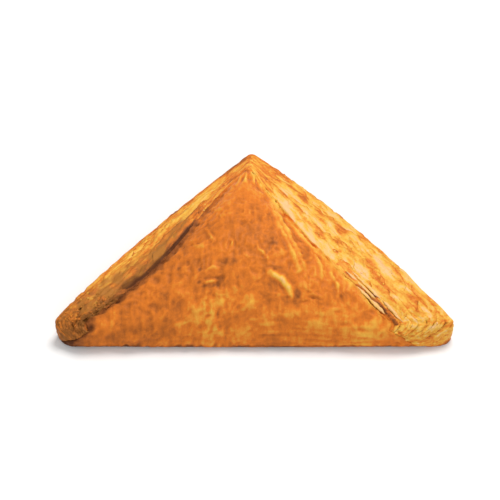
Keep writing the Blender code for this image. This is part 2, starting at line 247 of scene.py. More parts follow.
# Below RIGHT_PALE_SHARE the right side is seldom more baked than RIGHT_PALE: what is over it
# counts for RIGHT_PALE_OVER. The left side is nowhere less baked than LEFT_PALEST.
RIGHT_PALE_SHARE = 0.86
RIGHT_PALE = 0.34
RIGHT_PALE_OVER = 0.35
LEFT_PALEST = 0.26
# Where the leaves of the left side are a dull tan, in the same way.
TANS_LEFT = (
    (((50.0, 0.78), (43.0, 0.8), (36.0, 0.83)), 2.1, 0.9),
    (((36.0, 0.83), (28.0, 0.78), (21.0, 0.76), (12.0, 0.8)), 3.2, 1.0),
    (((28.0, 0.67), (21.0, 0.62), (12.0, 0.64)), 2.0, 0.9),
)
# The tan is uneven: its mean, its patches and its streaks. It ends inwards at a zone of shares,
# and is at least TAN_ROUGH where the leaves are rough.
TAN_MEAN = 0.85
TAN_PATCH = 1.3
TAN_PATCH_WAVE = 3.1 * MM
TAN_STREAK = 1.5
TAN_ZONE = (0.97, -0.1)
TAN_ROUGH = 0.5

# The rough, crumbly part of the left side, which fades out up the leg between these heights in
# millimetres, and how rough the right corner is beside it, up to ROUGH_FROM.
ROUGH_FROM = 14.0
ROUGH_TO = 24.0
ROUGH_RIGHT = 0.85
ROUGH_RIGHT_RISE = 1.6
# The rough surface is of worms, bent by a drift: crests that fall away to gaps. Its height, less
# on the wall, how far it sinks, its waves in millimetres, and how strongly light and shade are
# painted on it: crests paler as painted highlights, gaps darker as painted shade.
ROUGH_HEIGHT = 0.55 * MM
ROUGH_WALL_SHARE = 0.35
ROUGH_SINK = 0.7
ROUGH_WAVE = 2.5
ROUGH_DRIFT = 1.2
ROUGH_DRIFT_WAVE = 3.0
ROUGH_CREST = 1.2
ROUGH_FALL = 3.4
ROUGH_SHADING_LEFT = 0.17
ROUGH_SHADING_RIGHT = 0.13

# Where the top sheet ends at the foot, in stations past the fold's ends, and how ragged its ends
# are: a mean and a swing in stations, a wave, of which an end's rows span END_RUN, and a seed. At
# the ridge it ends level with the fold. The leaves are LEAFY_START of the way to whole at the
# sheet's end, and fade out under it over about LEAFY_FADE stations.
SHEET_PAST_LEFT = 12
SHEET_PAST_RIGHT = -7
SHEET_END_LEFT = (1.5, 2.5, 6.0, 2.0)
SHEET_END_RIGHT = (0.0, 1.5, 5.0, 7.0)
END_RUN = 40
LEAFY_FADE = 5.0
LEAFY_START = 0.9

# The top sheet's grid, and the width that it is taken to have on the fold.
SHEET_COLUMNS = 236
SHEET_FOLD_ROWS = 28
SHEET_TOP_ROWS = 136
SHEET_SPAN = 125.0 * MM

# The sheet's ragged edge at the ridge: tears, each a push and a wave in millimetres and a seed,
# then the slow wander and the notch of the right edge. The zones are starts and reaches in
# millimetres: two for the notch, and two where the edge is ragged at all. The sheet follows its
# edge over SHEET_PUSH_REACH.
EDGE_TEARS = ((0.7, 3.4, 1.0), (0.5, 1.3, 4.0))
EDGE_WANDER_RIGHT = (0.9, 7.5, 9.0)
EDGE_NOTCH_RIGHT = 1.1
EDGE_NOTCH_ZONES = ((2.0, 5.0), (16.5, -5.0))
EDGE_ZONES = ((62.0, -8.0), (1.0, 3.0))
SHEET_PUSH_REACH = 5.0 * MM

# The curl of the sheet's edge, as shares of the user's: a mean and a swing, then how far in it
# reaches, what the left edge has of it, and the rows over which it comes in from the fold and
# from the tip.
CURL_MEAN = 0.65
CURL_SWING = 0.7
CURL_WAVE = 3.1 * MM
CURL_REACH = 2.2 * MM
CURL_LEFT = 0.35
CURL_FOLD_ROWS = 12
CURL_TIP_ROWS = 30

# The crust's grain: the point of the plan that it fans out from, well behind the tip, and the
# length, width and height of a streak in millimetres.
CRUST_POLE = Vector((-1.0, 125.0, 0.0))
CRUST_STREAK_LONG = 7.0
CRUST_STREAK_WIDE = 1.35
CRUST_STREAK_HIGH = 3.0

# The crust's relief. A drift bends its worms, knobs and blisters, whose waves are in millimetres.
# The worms and knobs are shares of the user's wrinkle height, and the blisters, of two waves, of
# the user's blister height. The pleats' waves are across, upwards and inwards. The strokes lie
# along the grain.
CRUST_DRIFT = 1.8
CRUST_DRIFT_WAVE = 3.4
WORM_WAVE = 2.7
WORM_CREST = 0.6
WORM_FALL = 2.6
KNOB = 0.7
KNOB_WAVE = 1.7
KNOB_SHIFT = Vector((0, 0, 40.0))
BLISTERS = ((0.8, 6.3), (1.1, 3.3))
PLEAT = 0.45 * MM
PLEAT_WAVES = (9.0, 1.0, 2.2)
STROKE = 0.28 * MM
STROKE_MEAN = 0.5
STROKE_LEFT = 0.7

# Zones of the crust: starts and reaches in millimetres. The pleats lie low on the right, the
# strokes are strongest low on the left, and the worms and knobs are weaker by SMOOTHING among the
# pleats and near the tip.
LOW_ZONE = (9.0, -6.0)
PLEAT_ZONES = ((-2.0, 8.0), (48.0, -8.0))
STROKE_ZONES = ((2.0, -14.0), (34.0, -10.0))
TIP_ZONE = (40.0, 14.0)
SMOOTHING = 0.5

# Painted light and shade on the crust's relief: how much paler the crust is painted for a
# millimetre of worms, knobs, pleats and strokes, for a millimetre of crease, and for a blister's
# whole height, so that crests are painted highlights and valleys painted shade.
FINE_SHADING = 0.3
CREASE_SHADING = 0.45
BLISTER_SHADING = 0.05

# How baked the crust is, and the painted contact shade added at the foot, up to CRUST_FOOT_RISE
# millimetres.
CRUST_BAKE = 0.54
CRUST_FOOT_SHADE = 0.32
CRUST_FOOT_RISE = 3.2
# What is added along the left edge, uneven and less so near the tip, a brown band that is partly
# painted shadow in the seam under the sheet's edge, then towards the left corner, as grades of the
# way across, and on the left of the front.
EDGE_LEFT = 0.26
EDGE_LEFT_REACH = 4.5 * MM
EDGE_LEFT_SWING = 0.5
EDGE_LEFT_WAVE = 2.2
EDGE_LEFT_ZONE = (62.0, -20.0)
CORNER_GRADES = ((0.24, -52.0, -10.0), (0.03, -25.0, -15.0))
FRONT_LEFT = 0.06
FRONT_LEFT_ZONES = ((44.0, -14.0), (22.0, -20.0))
# What is taken off near the tip, as painted light where the top slopes back to the key light,
# along the right edge, and in golden patches bent by a drift.
TIP_PAINTED_LIGHT = 0.055
EDGE_RIGHT = 0.17
EDGE_RIGHT_REACH = 4.0 * MM
EDGE_RIGHT_MEAN = 0.7
EDGE_RIGHT_SWING = 0.6
EDGE_RIGHT_WAVE = 4.0
EDGE_RIGHT_ZONE = (4.0, 6.0)
GOLDEN = 0.08
GOLDEN_DRIFT = 3.0
GOLDEN_DRIFT_WAVE = 5.1
GOLDEN_WAVE = 7.7
GOLDEN_SWING = 1.5
GOLDEN_ZONE = (42.0, -16.0)
# The crust's relief comes in over RELIEF_EDGE from its edge, and over RELIEF_RISE millimetres from
# the floor, from which the crust keeps FLOOR_GAP. Points nearer than MERGE_GAP are made one.
RELIEF_EDGE = 0.8 * MM
RELIEF_RISE = 3.0
FLOOR_GAP = 0.05 * MM
MERGE_GAP = 0.005 * MM

# The creases, the blister and the pinched tip of the top sheet: points of the plan in
# millimetres, then each crease's height and half width. A crease has a shallow trough on either
# side, ends at CREASE_END half widths, and narrows towards its ends.
CREASE_END = 4
CREASE_TROUGH = 0.3
CREASE_TAPER = (0.05, 0.95)
CREASES = (
    (((5.2, 59.8), (9.0, 51.0), (11.8, 39.0), (15.6, 30.6), (18.4, 24.0), (20.4, 18.1)), 0.5, 1.0),
    (((8.0, 49.7), (10.4, 37.6), (13.5, 30.5), (16.3, 23.6), (18.0, 18.4)), 0.4, 0.8),
    (((13.6, 42.0), (17.7, 35.4), (22.0, 30.0), (25.0, 27.0)), 0.5, 0.9),
    (((7.9, 17.2), (9.9, 16.2), (12.4, 14.8), (14.5, 12.5), (15.5, 10.2)), 0.85, 1.05),
    (((-14.8, 14.2), (-11.0, 14.5)), 0.5, 0.5),
    (((-14.7, 35.4), (-13.1, 31.6), (-11.7, 28.6)), 0.4, 0.55),
    (((3.4, 27.6), (3.9, 24.8), (5.3, 24.0), (6.7, 21.9)), 0.45, 0.55),
    (((-5.6, 29.0), (-5.0, 25.4)), 0.35, 0.5),
    (((-14.8, 17.6), (-12.4, 19.1), (-9.9, 18.3)), 0.3, 0.5),
    (((24.0, 26.0), (25.6, 21.0), (25.8, 16.5)), 0.4, 0.6),
    (((29.0, 19.0), (31.5, 14.5), (31.8, 10.0)), 0.4, 0.6),
    (((-0.3, 65.0), (-0.6, 61.0), (-0.9, 57.5)), 0.55, 0.55),
    (((1.0, 65.0), (2.1, 61.2), (2.3, 57.5)), 0.55, 0.45),
    (((1.6, 65.0), (4.2, 59.6), (5.0, 56.0)), 0.45, 0.5),
    (((-0.9, 64.5), (-2.9, 60.0), (-3.8, 56.0)), 0.4, 0.5),
)

# The stains of the top sheet, with two painted shadows among them, marked below: a point of the
# plan and radii in millimetres, and strength, which is negative where the sheet is paler. A stain
# ends at STAIN_END radii, and is mottled.
STAIN_AND_SHADOW_STRENGTH = 0.17
STAIN_END = 1.6
STAIN_MEAN = 0.8
STAIN_SWING = 1.2
STAIN_WAVE = 1.6
STAINS_AND_SHADOWS = (
    (-6.0, 4.5, 13.0, 5.5, -0.7),
    (-6.4, 20.5, 2.8, 1.5, 0.9),
    (8.7, 27.3, 1.9, 2.6, 0.6),
    # Painted shadow on the lower right side of the blister.
    (17.4, 9.8, 1.4, 2.6, 1.1),
    (9.8, 18.8, 2.4, 0.7, 0.6),
    (19.6, 28.0, 2.0, 5.0, 0.45),
    (33.5, 11.0, 3.0, 1.6, 0.6),
    (0.7, 60.8, 0.4, 3.2, 0.9),
    (3.0, 60.0, 0.4, 2.6, 0.8),
    (-1.8, 60.8, 0.4, 2.6, 0.7),
    (-0.2, 65.0, 1.2, 1.2, 1.1),
    (-23.9, 19.5, 0.8, 0.7, 0.7),
    (-22.8, 16.7, 0.6, 0.9, 0.6),
    (-16.5, 18.3, 0.9, 0.6, 0.7),
    (-16.9, 14.2, 0.8, 0.6, 0.8),
    (-3.6, 16.1, 0.7, 1.0, 0.6),
    (6.1, 21.5, 0.7, 1.0, 0.8),
    # Painted shadow beneath the dimple's crease.
    (-13.0, 13.0, 2.4, 0.5, 1.0),
    (-30.0, 12.0, 2.6, 2.0, 0.5),
    (2.0, 7.0, 3.0, 1.2, 0.5),
    (44.0, 1.0, 9.0, 2.6, -0.45),
)

# The loose leaves: ranges of the length and of the ends along a side, then of the place inwards
# and the width, all as shares, of the lift in millimetres and of the tone. A leaf has
# LEAF_COLUMNS for a whole side's length, and at least LEAF_FEWEST_COLUMNS.
LEAF_LENGTHS = (0.12, 0.5)
LEAF_ENDS = (0.05, 0.95)
LEAF_SHELVES = (0.5, 0.97)
LEAF_WIDTHS = (0.06, 0.14)
LEAF_LIFTS = (0.2, 0.8)
LEAF_TONES = (-0.12, 0.09)
LEAF_COLUMNS = 150
LEAF_FEWEST_COLUMNS = 12
LEAF_DEPTH_ROWS = 4
# A leaf's taper to its ends, its ragged outer edge, as strengths and waves, how far it sways
# along the side, and how far its root is tucked in and under the surface. Then its bumps, and how
# baked it is, with its outer edge. LEAF_SEED_STEP is between the seeds of two leaves.
LEAF_TAPER = 2.2
LEAF_TAPER_POWER = 0.7
LEAF_TEARS = ((0.3, 2.2 * MM), (0.4, 6 * MM))
LEAF_SWAY = 0.03
LEAF_SWAY_WAVE = 14 * MM
LEAF_TUCK = 0.03
LEAF_SHARES = (0.1, 0.99)
LEAF_ROOT = 0.35 * MM
LEAF_RISE_POWER = 0.8
LEAF_BUMP = 0.25 * MM
LEAF_BUMP_WAVE = 2.0 * MM
LEAF_BAKE = 0.08
LEAF_EDGE_BAKE = 0.13
LEAF_SEED_STEP = 17.3

# The shards: the rows that they lie in, along the right ridge, as shares inwards, and how far off
# them, then ranges of the place along the side, of the length and width in millimetres, of the
# turn and tilt in radians, and of the tone.
SHARD_SHARES = (0.895, 0.945, 0.995)
SHARD_SPREAD = 0.007
SHARD_PLACES = (0.13, 0.35)
SHARD_LENGTHS = (6.0, 12.0)
SHARD_WIDTHS = (1.1, 1.6)
SHARD_TURN = 0.04
SHARD_TILTS = (0.1, 0.5)
SHARD_TONES = (-0.16, 0.02)
SHARD_COLUMNS = 20
SHARD_ROWS = 4
# A shard's torn outline, its narrowest share of the width, its curl, how it bends down across and
# at its ends, its height over the side, and how baked it is, with its edges. SHARD_SEED_STEP is
# between the seeds of two shards.
SHARD_TORN = 0.6
SHARD_TORN_WAVE = 2.6
SHARD_NARROWEST = 0.2
SHARD_CURL = 0.25 * MM
SHARD_CURL_WAVE = 1.6
SHARD_ROUND = 0.35 * MM
SHARD_DROOP = 0.45 * MM
SHARD_HEIGHT = 0.4 * MM
SHARD_BAKE = 0.12
SHARD_EDGE_BAKE = 0.16
SHARD_STREAKS = 1.2
SHARD_SEED_STEP = 9.1

# The crumbs: the share of them on the left and, of these, the share at its corner, then ranges of
# the place along a side there and elsewhere, and inwards, of the radius in millimetres, of the
# stretch sideways and upwards, and of the tone. No crumb starts darker than CRUMB_DARKEST.
CRUMBS_LEFT = 0.7
CRUMBS_CORNER = 0.75
CRUMB_CORNER_PLACES = (0.04, 0.22)
CRUMB_PLACES = (0.05, 0.9)
CRUMB_SHARES = (0.5, 0.98)
CRUMB_RADII = (0.2, 0.5)
CRUMB_WIDE = (0.7, 1.4)
CRUMB_HIGH = (0.5, 0.9)
CRUMB_TONES = (-0.12, 0.06)
CRUMB_ROUGH = 0.45
CRUMB_ROUGH_SCALE = 1.4
CRUMB_HEIGHT = 0.15 * MM
CRUMB_DARKEST = 0.7
CRUMB_GRAIN = 2.0 * MM
CRUMB_SEED_STEP = 7.0

# How far apart the points are that a surface's slope is read from, as shares inwards, along a
# side and downhill.
NEAR = 0.01
NEAR_ALONG = 0.004
NEAR_DOWN = 0.02

# A line's runs are taken to be at least this long.
SHORTEST_RUN = 0.001 * MM

# Where each number of noise_vector is read, from a place.
NOISE_SHIFTS = (Vector((9.3, -1.5, -8.0)), Vector((0.0, 0.0, 0.0)), Vector((6.1, 13.2, -0.7)))

Station = namedtuple("Station", "foot rim ridge cut past left")
Ring = namedtuple("Ring", "fold right left whole")


# ---------------------------------------------------------------- sizes and colours


class PuffSizes(bpy.types.PropertyGroup):
    """The sizes of the finish."""

    sheet_thickness: FloatProperty(
        name="Sheet thickness",
        description="Thickness of the glazed top sheet",
        default=0.7 * MM,
        unit="LENGTH",
        subtype="DISTANCE",
    )
    sheet_curl: FloatProperty(
        name="Sheet curl",
        description="How far the top sheet's edge curls up off the leaves",
        default=0.5 * MM,
        unit="LENGTH",
        subtype="DISTANCE",
    )
    blister: FloatProperty(
        name="Blisters",
        description="Height of the broad blisters of the crust",
        default=0.36 * MM,
        unit="LENGTH",
        subtype="DISTANCE",
    )
    wrinkle: FloatProperty(
        name="Wrinkles",
        description="Height of the fine worm-like wrinkles of the crust",
        default=0.26 * MM,
        unit="LENGTH",
        subtype="DISTANCE",
    )
    leaf_thickness: FloatProperty(
        name="Leaf thickness",
        description="Thickness of one loose leaf of pastry",
        default=0.3 * MM,
        unit="LENGTH",
        subtype="DISTANCE",
    )
    leaves_right: IntProperty(
        name="Leaves on the right",
        description="How many loose leaves lie on the right cut side",
        default=40,
        min=0,
    )
    leaves_left: IntProperty(
        name="Leaves on the left",
        description="How many loose leaves lie on the left cut side",
        default=26,
        min=0,
    )
    shards: IntProperty(
        name="Shards",
        description="How many torn, curled shards lie along the right ridge",
        default=15,
        min=0,
    )
    crumbs: IntProperty(
        name="Crumbs",
        description="How many crumbs cling to the left corner and the cut sides",
        default=70,
        min=0,
    )
    seed: IntProperty(
        name="Seed",
        description="Number that the scatter of leaves, shards and crumbs starts from",
        default=11,
        min=0,
    )


class PuffColours(bpy.types.PropertyGroup):
    """The colours of the pastry, from least to most baked, its dull tan and the floor's."""

    cream: FloatVectorProperty(
        name="Cream",
        description="Pale inner leaves",
        default=(0.81, 0.48, 0.22, 1.0),
        size=4,
        min=0.0,
        max=1.0,
        subtype="COLOR",
    )
    yellow: FloatVectorProperty(
        name="Yellow",
        description="Lightly baked leaves",
        default=(0.78, 0.435, 0.06, 1.0),
        size=4,
        min=0.0,
        max=1.0,
        subtype="COLOR",
    )
    orange: FloatVectorProperty(
        name="Orange",
        description="Glazed, well baked crust",
        default=(0.67, 0.179, 0.020, 1.0),
        size=4,
        min=0.0,
        max=1.0,
        subtype="COLOR",
    )
    brown: FloatVectorProperty(
        name="Brown",
        description="Browned edges",
        default=(0.31, 0.09, 0.018, 1.0),
        size=4,
        min=0.0,
        max=1.0,
        subtype="COLOR",
    )
    dark: FloatVectorProperty(
        name="Dark brown",
        description="The darkest cracks and edges",
        default=(0.09, 0.025, 0.006, 1.0),
        size=4,
        min=0.0,
        max=1.0,
        subtype="COLOR",
    )
    tan: FloatVectorProperty(
        name="Tan",
        description="Dull leaves that have taken up oil",
        default=(0.42, 0.16, 0.027, 1.0),
        size=4,
        min=0.0,
        max=1.0,
        subtype="COLOR",
    )
    floor: FloatVectorProperty(
        name="Floor",
        description="The plain pale floor",
        default=(0.9, 0.9, 0.9, 1.0),
        size=4,
        min=0.0,
        max=1.0,
        subtype="COLOR",
    )


# ---------------------------------------------------------------- the form


def ease(share):
    """A smooth step from 0 to 1."""
    share = min(1.0, max(0.0, share))
    return share * share * (3.0 - 2.0 * share)


def zone(value, start, reach):
    """A smooth step from 0, where the value is start, to 1, a reach from there."""
    return ease((value - start) / reach)


def graded(value, grades):
    """The sum of grades at a value: strengths that each come in over a zone."""
    total = 0.0
    for strength, start, reach in grades:
        total += strength * zone(value, start, reach)
    return total


def arched(start, end, arch, share, skew=1.0):
    """A height that goes from start to end as share goes from 0 to 1, and arches over between."""
    share = min(1.0, max(0.0, share))
    return start + (end - start) * share + arch * math.sin(math.pi * share**skew)


def lifted(place, height):
    """The point at a height over a point of the plan."""
    return Vector((place.x, place.y, height))


def rounded_corner(corner, before, after, radius, steps):
    """The arc that rounds the corner between the sides to before and after, ends included."""
    to_before = (before - corner).normalized()
    to_after = (after - corner).normalized()
    half_angle = to_before.angle(to_after) / 2
    centre = corner + (to_before + to_after).normalized() * (radius / math.sin(half_angle))
    start = corner + to_before * (radius / math.tan(half_angle)) - centre
    turn = math.pi - 2 * half_angle
    return [centre + Matrix.Rotation(turn * step / steps, 2) @ start for step in range(steps + 1)]


def bowed_side(start, end, steps, bow, lean=0.0):
    """The points strictly between two corners, bowed outwards. The outline runs anticlockwise.

    A positive lean moves the first half outwards and the second half inwards.
    """
    along = end - start
    outward = Vector((along.y, -along.x)).normalized()
    points = []
    for step in range(1, steps):
        share = step / steps
        out = bow * math.sin(math.pi * share) + lean * math.sin(math.tau * share)
        points.append(start + along * share + outward * out)
    return points


def outline(corners, radii, bows, lean=0.0):
    """A rounded triangle, anticlockwise from the left end of the fold."""
    left, right, tip = corners
    right_arc = rounded_corner(right, left, tip, radii[1], CORNER_STEPS)
    tip_arc = rounded_corner(tip, right, left, radii[2], TIP_STEPS)
    left_arc = rounded_corner(left, tip, right, radii[0], CORNER_STEPS)
    return (
        bowed_side(left_arc[-1], right_arc[0], FOLD_STEPS, bows[0])
        + right_arc
        + bowed_side(right_arc[-1], tip_arc[0], CUT_STEPS, bows[1])
        + tip_arc
        + bowed_side(tip_arc[-1], left_arc[0], CUT_STEPS, bows[2], lean)
        + left_arc
    )


def make_ring():
    """The stations round the puff, each with its points on the foot, the rim and the ridge.

    The share named cut is 0 on the fold and 1 on the cut sides, and past counts the stations from
    the nearer end of the fold, negative on the fold. The fold's list starts SHEET_PAST_LEFT
    stations before its left end. The sides' lists run from the fold to the middle of the tip.
    """
    foot = outline(
        (FOOT_LEFT, FOOT_RIGHT, FOOT_TIP),
        (CORNER_RADIUS_LEFT, CORNER_RADIUS_RIGHT, TIP_RADIUS),
        (RIM_BOW_FOLD, RIM_BOW_RIGHT, RIM_BOW_LEFT),
    )
    rim = outline(
        (RIM_LEFT, RIM_RIGHT, RIM_TIP),
        (CORNER_RADIUS_LEFT, CORNER_RADIUS_RIGHT, TIP_RADIUS),
        (RIM_BOW_FOLD, RIM_BOW_RIGHT, RIM_BOW_LEFT),
    )
    ridge = outline(
        (RIDGE_LEFT, RIDGE_RIGHT, RIDGE_TIP),
        (RIDGE_RADIUS, RIDGE_RADIUS, RIDGE_RADIUS),
        (RIDGE_BOW_FOLD, RIDGE_BOW_RIGHT, RIDGE_BOW_LEFT),
        RIDGE_LEAN_LEFT,
    )
    corner = [ease(step / (CORNER_TURN * CORNER_STEPS)) for step in range(CORNER_STEPS + 1)]
    cuts = [1.0] * (2 * (CUT_STEPS - 1) + TIP_STEPS + 1)
    shares = [0.0] * (FOLD_STEPS - 1) + corner + cuts + corner[::-1]
    fold_end = FOLD_STEPS - 1
    whole = []
    for i, cut in enumerate(shares):
        past = min(i - fold_end, len(shares) - 1 - i)
        if i < fold_end:
            past = -min(fold_end - i, i + 1)
        whole.append(Station(foot[i], rim[i], ridge[i], cut, past, rim[i].x < RIM_TIP.x))
    tip = fold_end + CORNER_STEPS + 1 + CUT_STEPS - 1 + TIP_STEPS // 2
    return Ring(
        whole[-1 - SHEET_PAST_LEFT :] + whole[: fold_end + 1],
        whole[fold_end : tip + 1],
        whole[: tip - 1 : -1],
        whole,
    )


def even_points(points, steps):
    """The points that divide the line through some points into even steps, ends included."""
    runs = [0.0]
    for before, after in zip(points, points[1:]):
        runs.append(runs[-1] + (after - before).length)
    even = []
    place = 0
    for step in range(steps + 1):
        run = runs[-1] * step / steps
        while place < len(points) - 2 and runs[place + 1] < run:
            place += 1
        part = (run - runs[place]) / max(runs[place + 1] - runs[place], SHORTEST_RUN)
        even.append(points[place].lerp(points[place + 1], part))
    return even


def between(stations, share):
    """The station at a share of the way along a list of them."""
    place = min(1.0, max(0.0, share)) * (len(stations) - 1)
    first = min(int(place), len(stations) - 2)
    part = place - first
    a, b = stations[first], stations[first + 1]
    return Station(
        a.foot.lerp(b.foot, part),
        a.rim.lerp(b.rim, part),
        a.ridge.lerp(b.ridge, part),
        a.cut + (b.cut - a.cut) * part,
        a.past + (b.past - a.past) * part,
        a.left,
    )


def rim_height(station):
    """The rim's height at a station, lower near the fold's corners."""
    height = arched(RIM_HEIGHT, RIM_HEIGHT, RIM_ARCH, station.rim.y / RIM_TIP.y)
    drop = CORNER_DROP_LEFT if station.left else CORNER_DROP_RIGHT
    return height - drop * ease(1 - station.rim.y / CORNER_DROP_REACH)


def ridge_height(place):
    """The ridge's height, level with a point of the plan."""
    share = place.y / RIDGE_TIP.y
    return arched(RIDGE_END_HEIGHT, RIDGE_TIP_HEIGHT, RIDGE_ARCH, share, RIDGE_SKEW)


def ridge_sides(place):
    """Where the ridge runs to the left and to the right, level with a point of the plan."""
    share = min(1.0, max(0.0, place.y / RIDGE_TIP.y))
    bow = math.sqrt(2) * math.sin(math.pi * share)
    lean = math.sqrt(2) * math.sin(math.tau * share)
    left = RIDGE_LEFT.lerp(RIDGE_TIP, share).x - RIDGE_BOW_LEFT * bow + RIDGE_LEAN_LEFT * lean
    right = RIDGE_RIGHT.lerp(RIDGE_TIP, share).x + RIDGE_BOW_RIGHT * bow
    return left, right


def top_height(place):
    """The top sheet's height over a point of the plan."""
    left, right = ridge_sides(place)
    across = abs(2 * place.x - left - right) / max(right - left, RIDGE_RADIUS)
    crown = max(0.0, 1 - across**CROWN_POWER)
    return ridge_height(place) + crown * arched(0.0, 0.0, MOUND, place.y / RIDGE_TIP.y, MOUND_SKEW)


def fold_point(station, share):
    """A point of the fold's rounded front, from the foot, at 0, to the ridge, at 1."""
    end = station.ridge.y
    top = top_height(station.ridge)
    slope = (top_height(station.ridge + Vector((0, MM))) - top) / MM
    front = [(station.rim.y + behind, height) for behind, height in FOLD_PROFILE]
    reach = min(FOLD_SLOPE_REACH / math.hypot(1, slope), max(0.0, end - front[-1][0]))
    controls = [(station.foot.y, 0.0), *front, (end - reach, top - reach * slope), (end, top)]
    degree = len(controls) - 1
    behind = 0.0
    height = 0.0
    for i, (control_behind, control_height) in enumerate(controls):
        weight = math.comb(degree, i) * share**i * (1 - share) ** (degree - i)
        behind += weight * control_behind
        height += weight * control_height
    across = station.rim.x + (station.ridge.x - station.rim.x) * share
    across += (station.foot.x - station.rim.x) * max(0.0, 1 - share / FOLD_FOOT_SHARE) ** 2
    return Vector((across, behind, height))


def side_point(station, share):
    """A point of the body's bare outside, from the foot, at 0, over the rim to the ridge, at 1."""
    if share < WALL_SHARE:
        rise = share / WALL_SHARE
        place = station.rim.lerp(station.foot, (1 - rise) ** WALL_ROUNDING)
        cut = lifted(place, rim_height(station) * rise)
    else:
        rise = (share - WALL_SHARE) / (1 - WALL_SHARE)
        low = rim_height(station)
        high = ridge_height(station.ridge)
        cut = lifted(station.rim.lerp(station.ridge, rise), low + (high - low) * rise)
    return fold_point(station, share).lerp(cut, station.cut)


def settle(obj, material, replaces=False):
    """Gives a finished mesh its place over the origin, its material and its body."""
    obj.data.transform(Matrix.Translation((-MIDDLE.x, -MIDDLE.y, 0.0)))
    obj.data.materials.clear()
    obj.data.materials.append(material)
    obj.data.shade_smooth()
    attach(obj, BODY)
    if replaces:
        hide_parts(NODE)
    return obj


def thicken(obj, thickness):
    """Gives an open sheet a wall, inwards from its outer face."""
    wall = obj.modifiers.new("Wall", "SOLIDIFY")
    wall.thickness = thickness
    wall.offset = -1.0
    wall.use_rim = True
    return obj


def mesh_object(name, bm):
    """A new object in the scene from a bmesh, which is freed."""
    mesh = bpy.data.meshes.new(name)
    bm.to_mesh(mesh)
    bm.free()
    obj = bpy.data.objects.new(name, mesh)
    bpy.context.scene.collection.objects.link(obj)
    return obj


def marks(bm):
    """The vertex layers that the materials read.

    They say how baked a place is, with painted light and shade added in, how much of a dull tan it
    has, and where it is on the grain, whose first number grows slowly along the streaks and whose
    second grows fast across them.
    """
    layers = bm.verts.layers
    return layers.float.new("bake"), layers.float.new("tan"), layers.float_vector.new("grain")


def wander(place, wave, seed):
    """Noise between about -1 and 1 that changes over a length of one wave."""
    return noise.noise(Vector((place.x / wave, place.y / wave, seed)))


def noise_vector(place):
    """Three numbers between about -1 and 1 that change smoothly with the place."""
    return Vector([noise.noise(place + shift) for shift in NOISE_SHIFTS])


# ---------------------------------------------------------------- the body


def leaf_rows():
    """The rows of the leaves, foot to ridge: (share, lift along the normal, how baked, with the
    painted shade of the grooves, leaf number).
    """
    rows = []
    number = 0
    for start, end, count in ((0.0, WALL_SHARE, WALL_LEAVES), (WALL_SHARE, 1.0, SLOPE_LEAVES)):
        width = (end - start) / count
        for leaf in range(count):
            foot = start + width * leaf
            for place, lift, bake in LEAF_ROWS:
                rows.append((foot + place * width, lift, bake, number))
            number += 1
    # The lowest leaf has no groove under it.
    return rows[1:]


def leafiness(station, share):
    """1 on the cut sides and round the corners' noses, down to 0 under the top sheet's fold."""
    end = SHEET_PAST_LEFT if station.left else SHEET_PAST_RIGHT
    return ease((station.past - end * (1 - share)) / (LEAFY_FADE * (1 + share)) + LEAFY_START)


def gap_to_line(place, points):
    """How far a place is from a line through points, and at which share of the line."""
    nearest = None
    for i in range(len(points) - 1):
        start, end = Vector(points[i]), Vector(points[i + 1])
        along = end - start
        part = min(1.0, max(0.0, (place - start).dot(along) / along.length_squared))
        gap = (place - start - along * part).length
        if nearest is None or gap < nearest[0]:
            nearest = (gap, (i + part) / (len(points) - 1))
    return nearest


def toned(place, tones):
    """The sum of the tones of a list at a place of a cut side."""
    total = 0.0
    for points, width, strength in tones:
        line = [(up, inwards * SIDE_DEEP) for up, inwards in points]
        gap = gap_to_line(place, line)[0]
        total += strength * ease(TONE_END - gap / width)
    return total


def roughness(station):
    """How rough the leaves are: most at the left corner, some at the right, none up the legs."""
    up = station.rim.y / MM
    if station.left:
        return ease((ROUGH_TO - up) / (ROUGH_TO - ROUGH_FROM))
    return ROUGH_RIGHT * ease((ROUGH_FROM - up) / ROUGH_FROM * ROUGH_RIGHT_RISE)


def worms(place, crest, fall):
    """The height of worm-like ridges at a place: the crest's, less what falls away beside it."""
    return crest - fall * abs(noise.noise(place))


def rough_worms(point):
    """The height, from about -1 to 1, of a rough crumbly surface at a point."""
    spot = point / MM
    drift = noise_vector(spot / ROUGH_DRIFT_WAVE) * ROUGH_DRIFT
    return worms((spot + drift) / ROUGH_WAVE, ROUGH_CREST, ROUGH_FALL)


def grain_place(station, share, point, seed=0.0):
    """Where a point of a cut side is on the grain, which is broken up where the leaves are rough."""
    along = station.past * STATION_STEP + seed
    across = share * SIDE_DEEP
    sway = SIDE_SWAY * math.sin(along / SIDE_SWAY_WAVE)
    part = SIDE_GRAIN_LEFT if station.left else 0.0
    place = Vector((along / SIDE_STREAK_LONG, (across + sway) / SIDE_STREAK_WIDE, part))
    return place + noise_vector(point / SIDE_WARP_WAVE) * (SIDE_WARP * roughness(station))


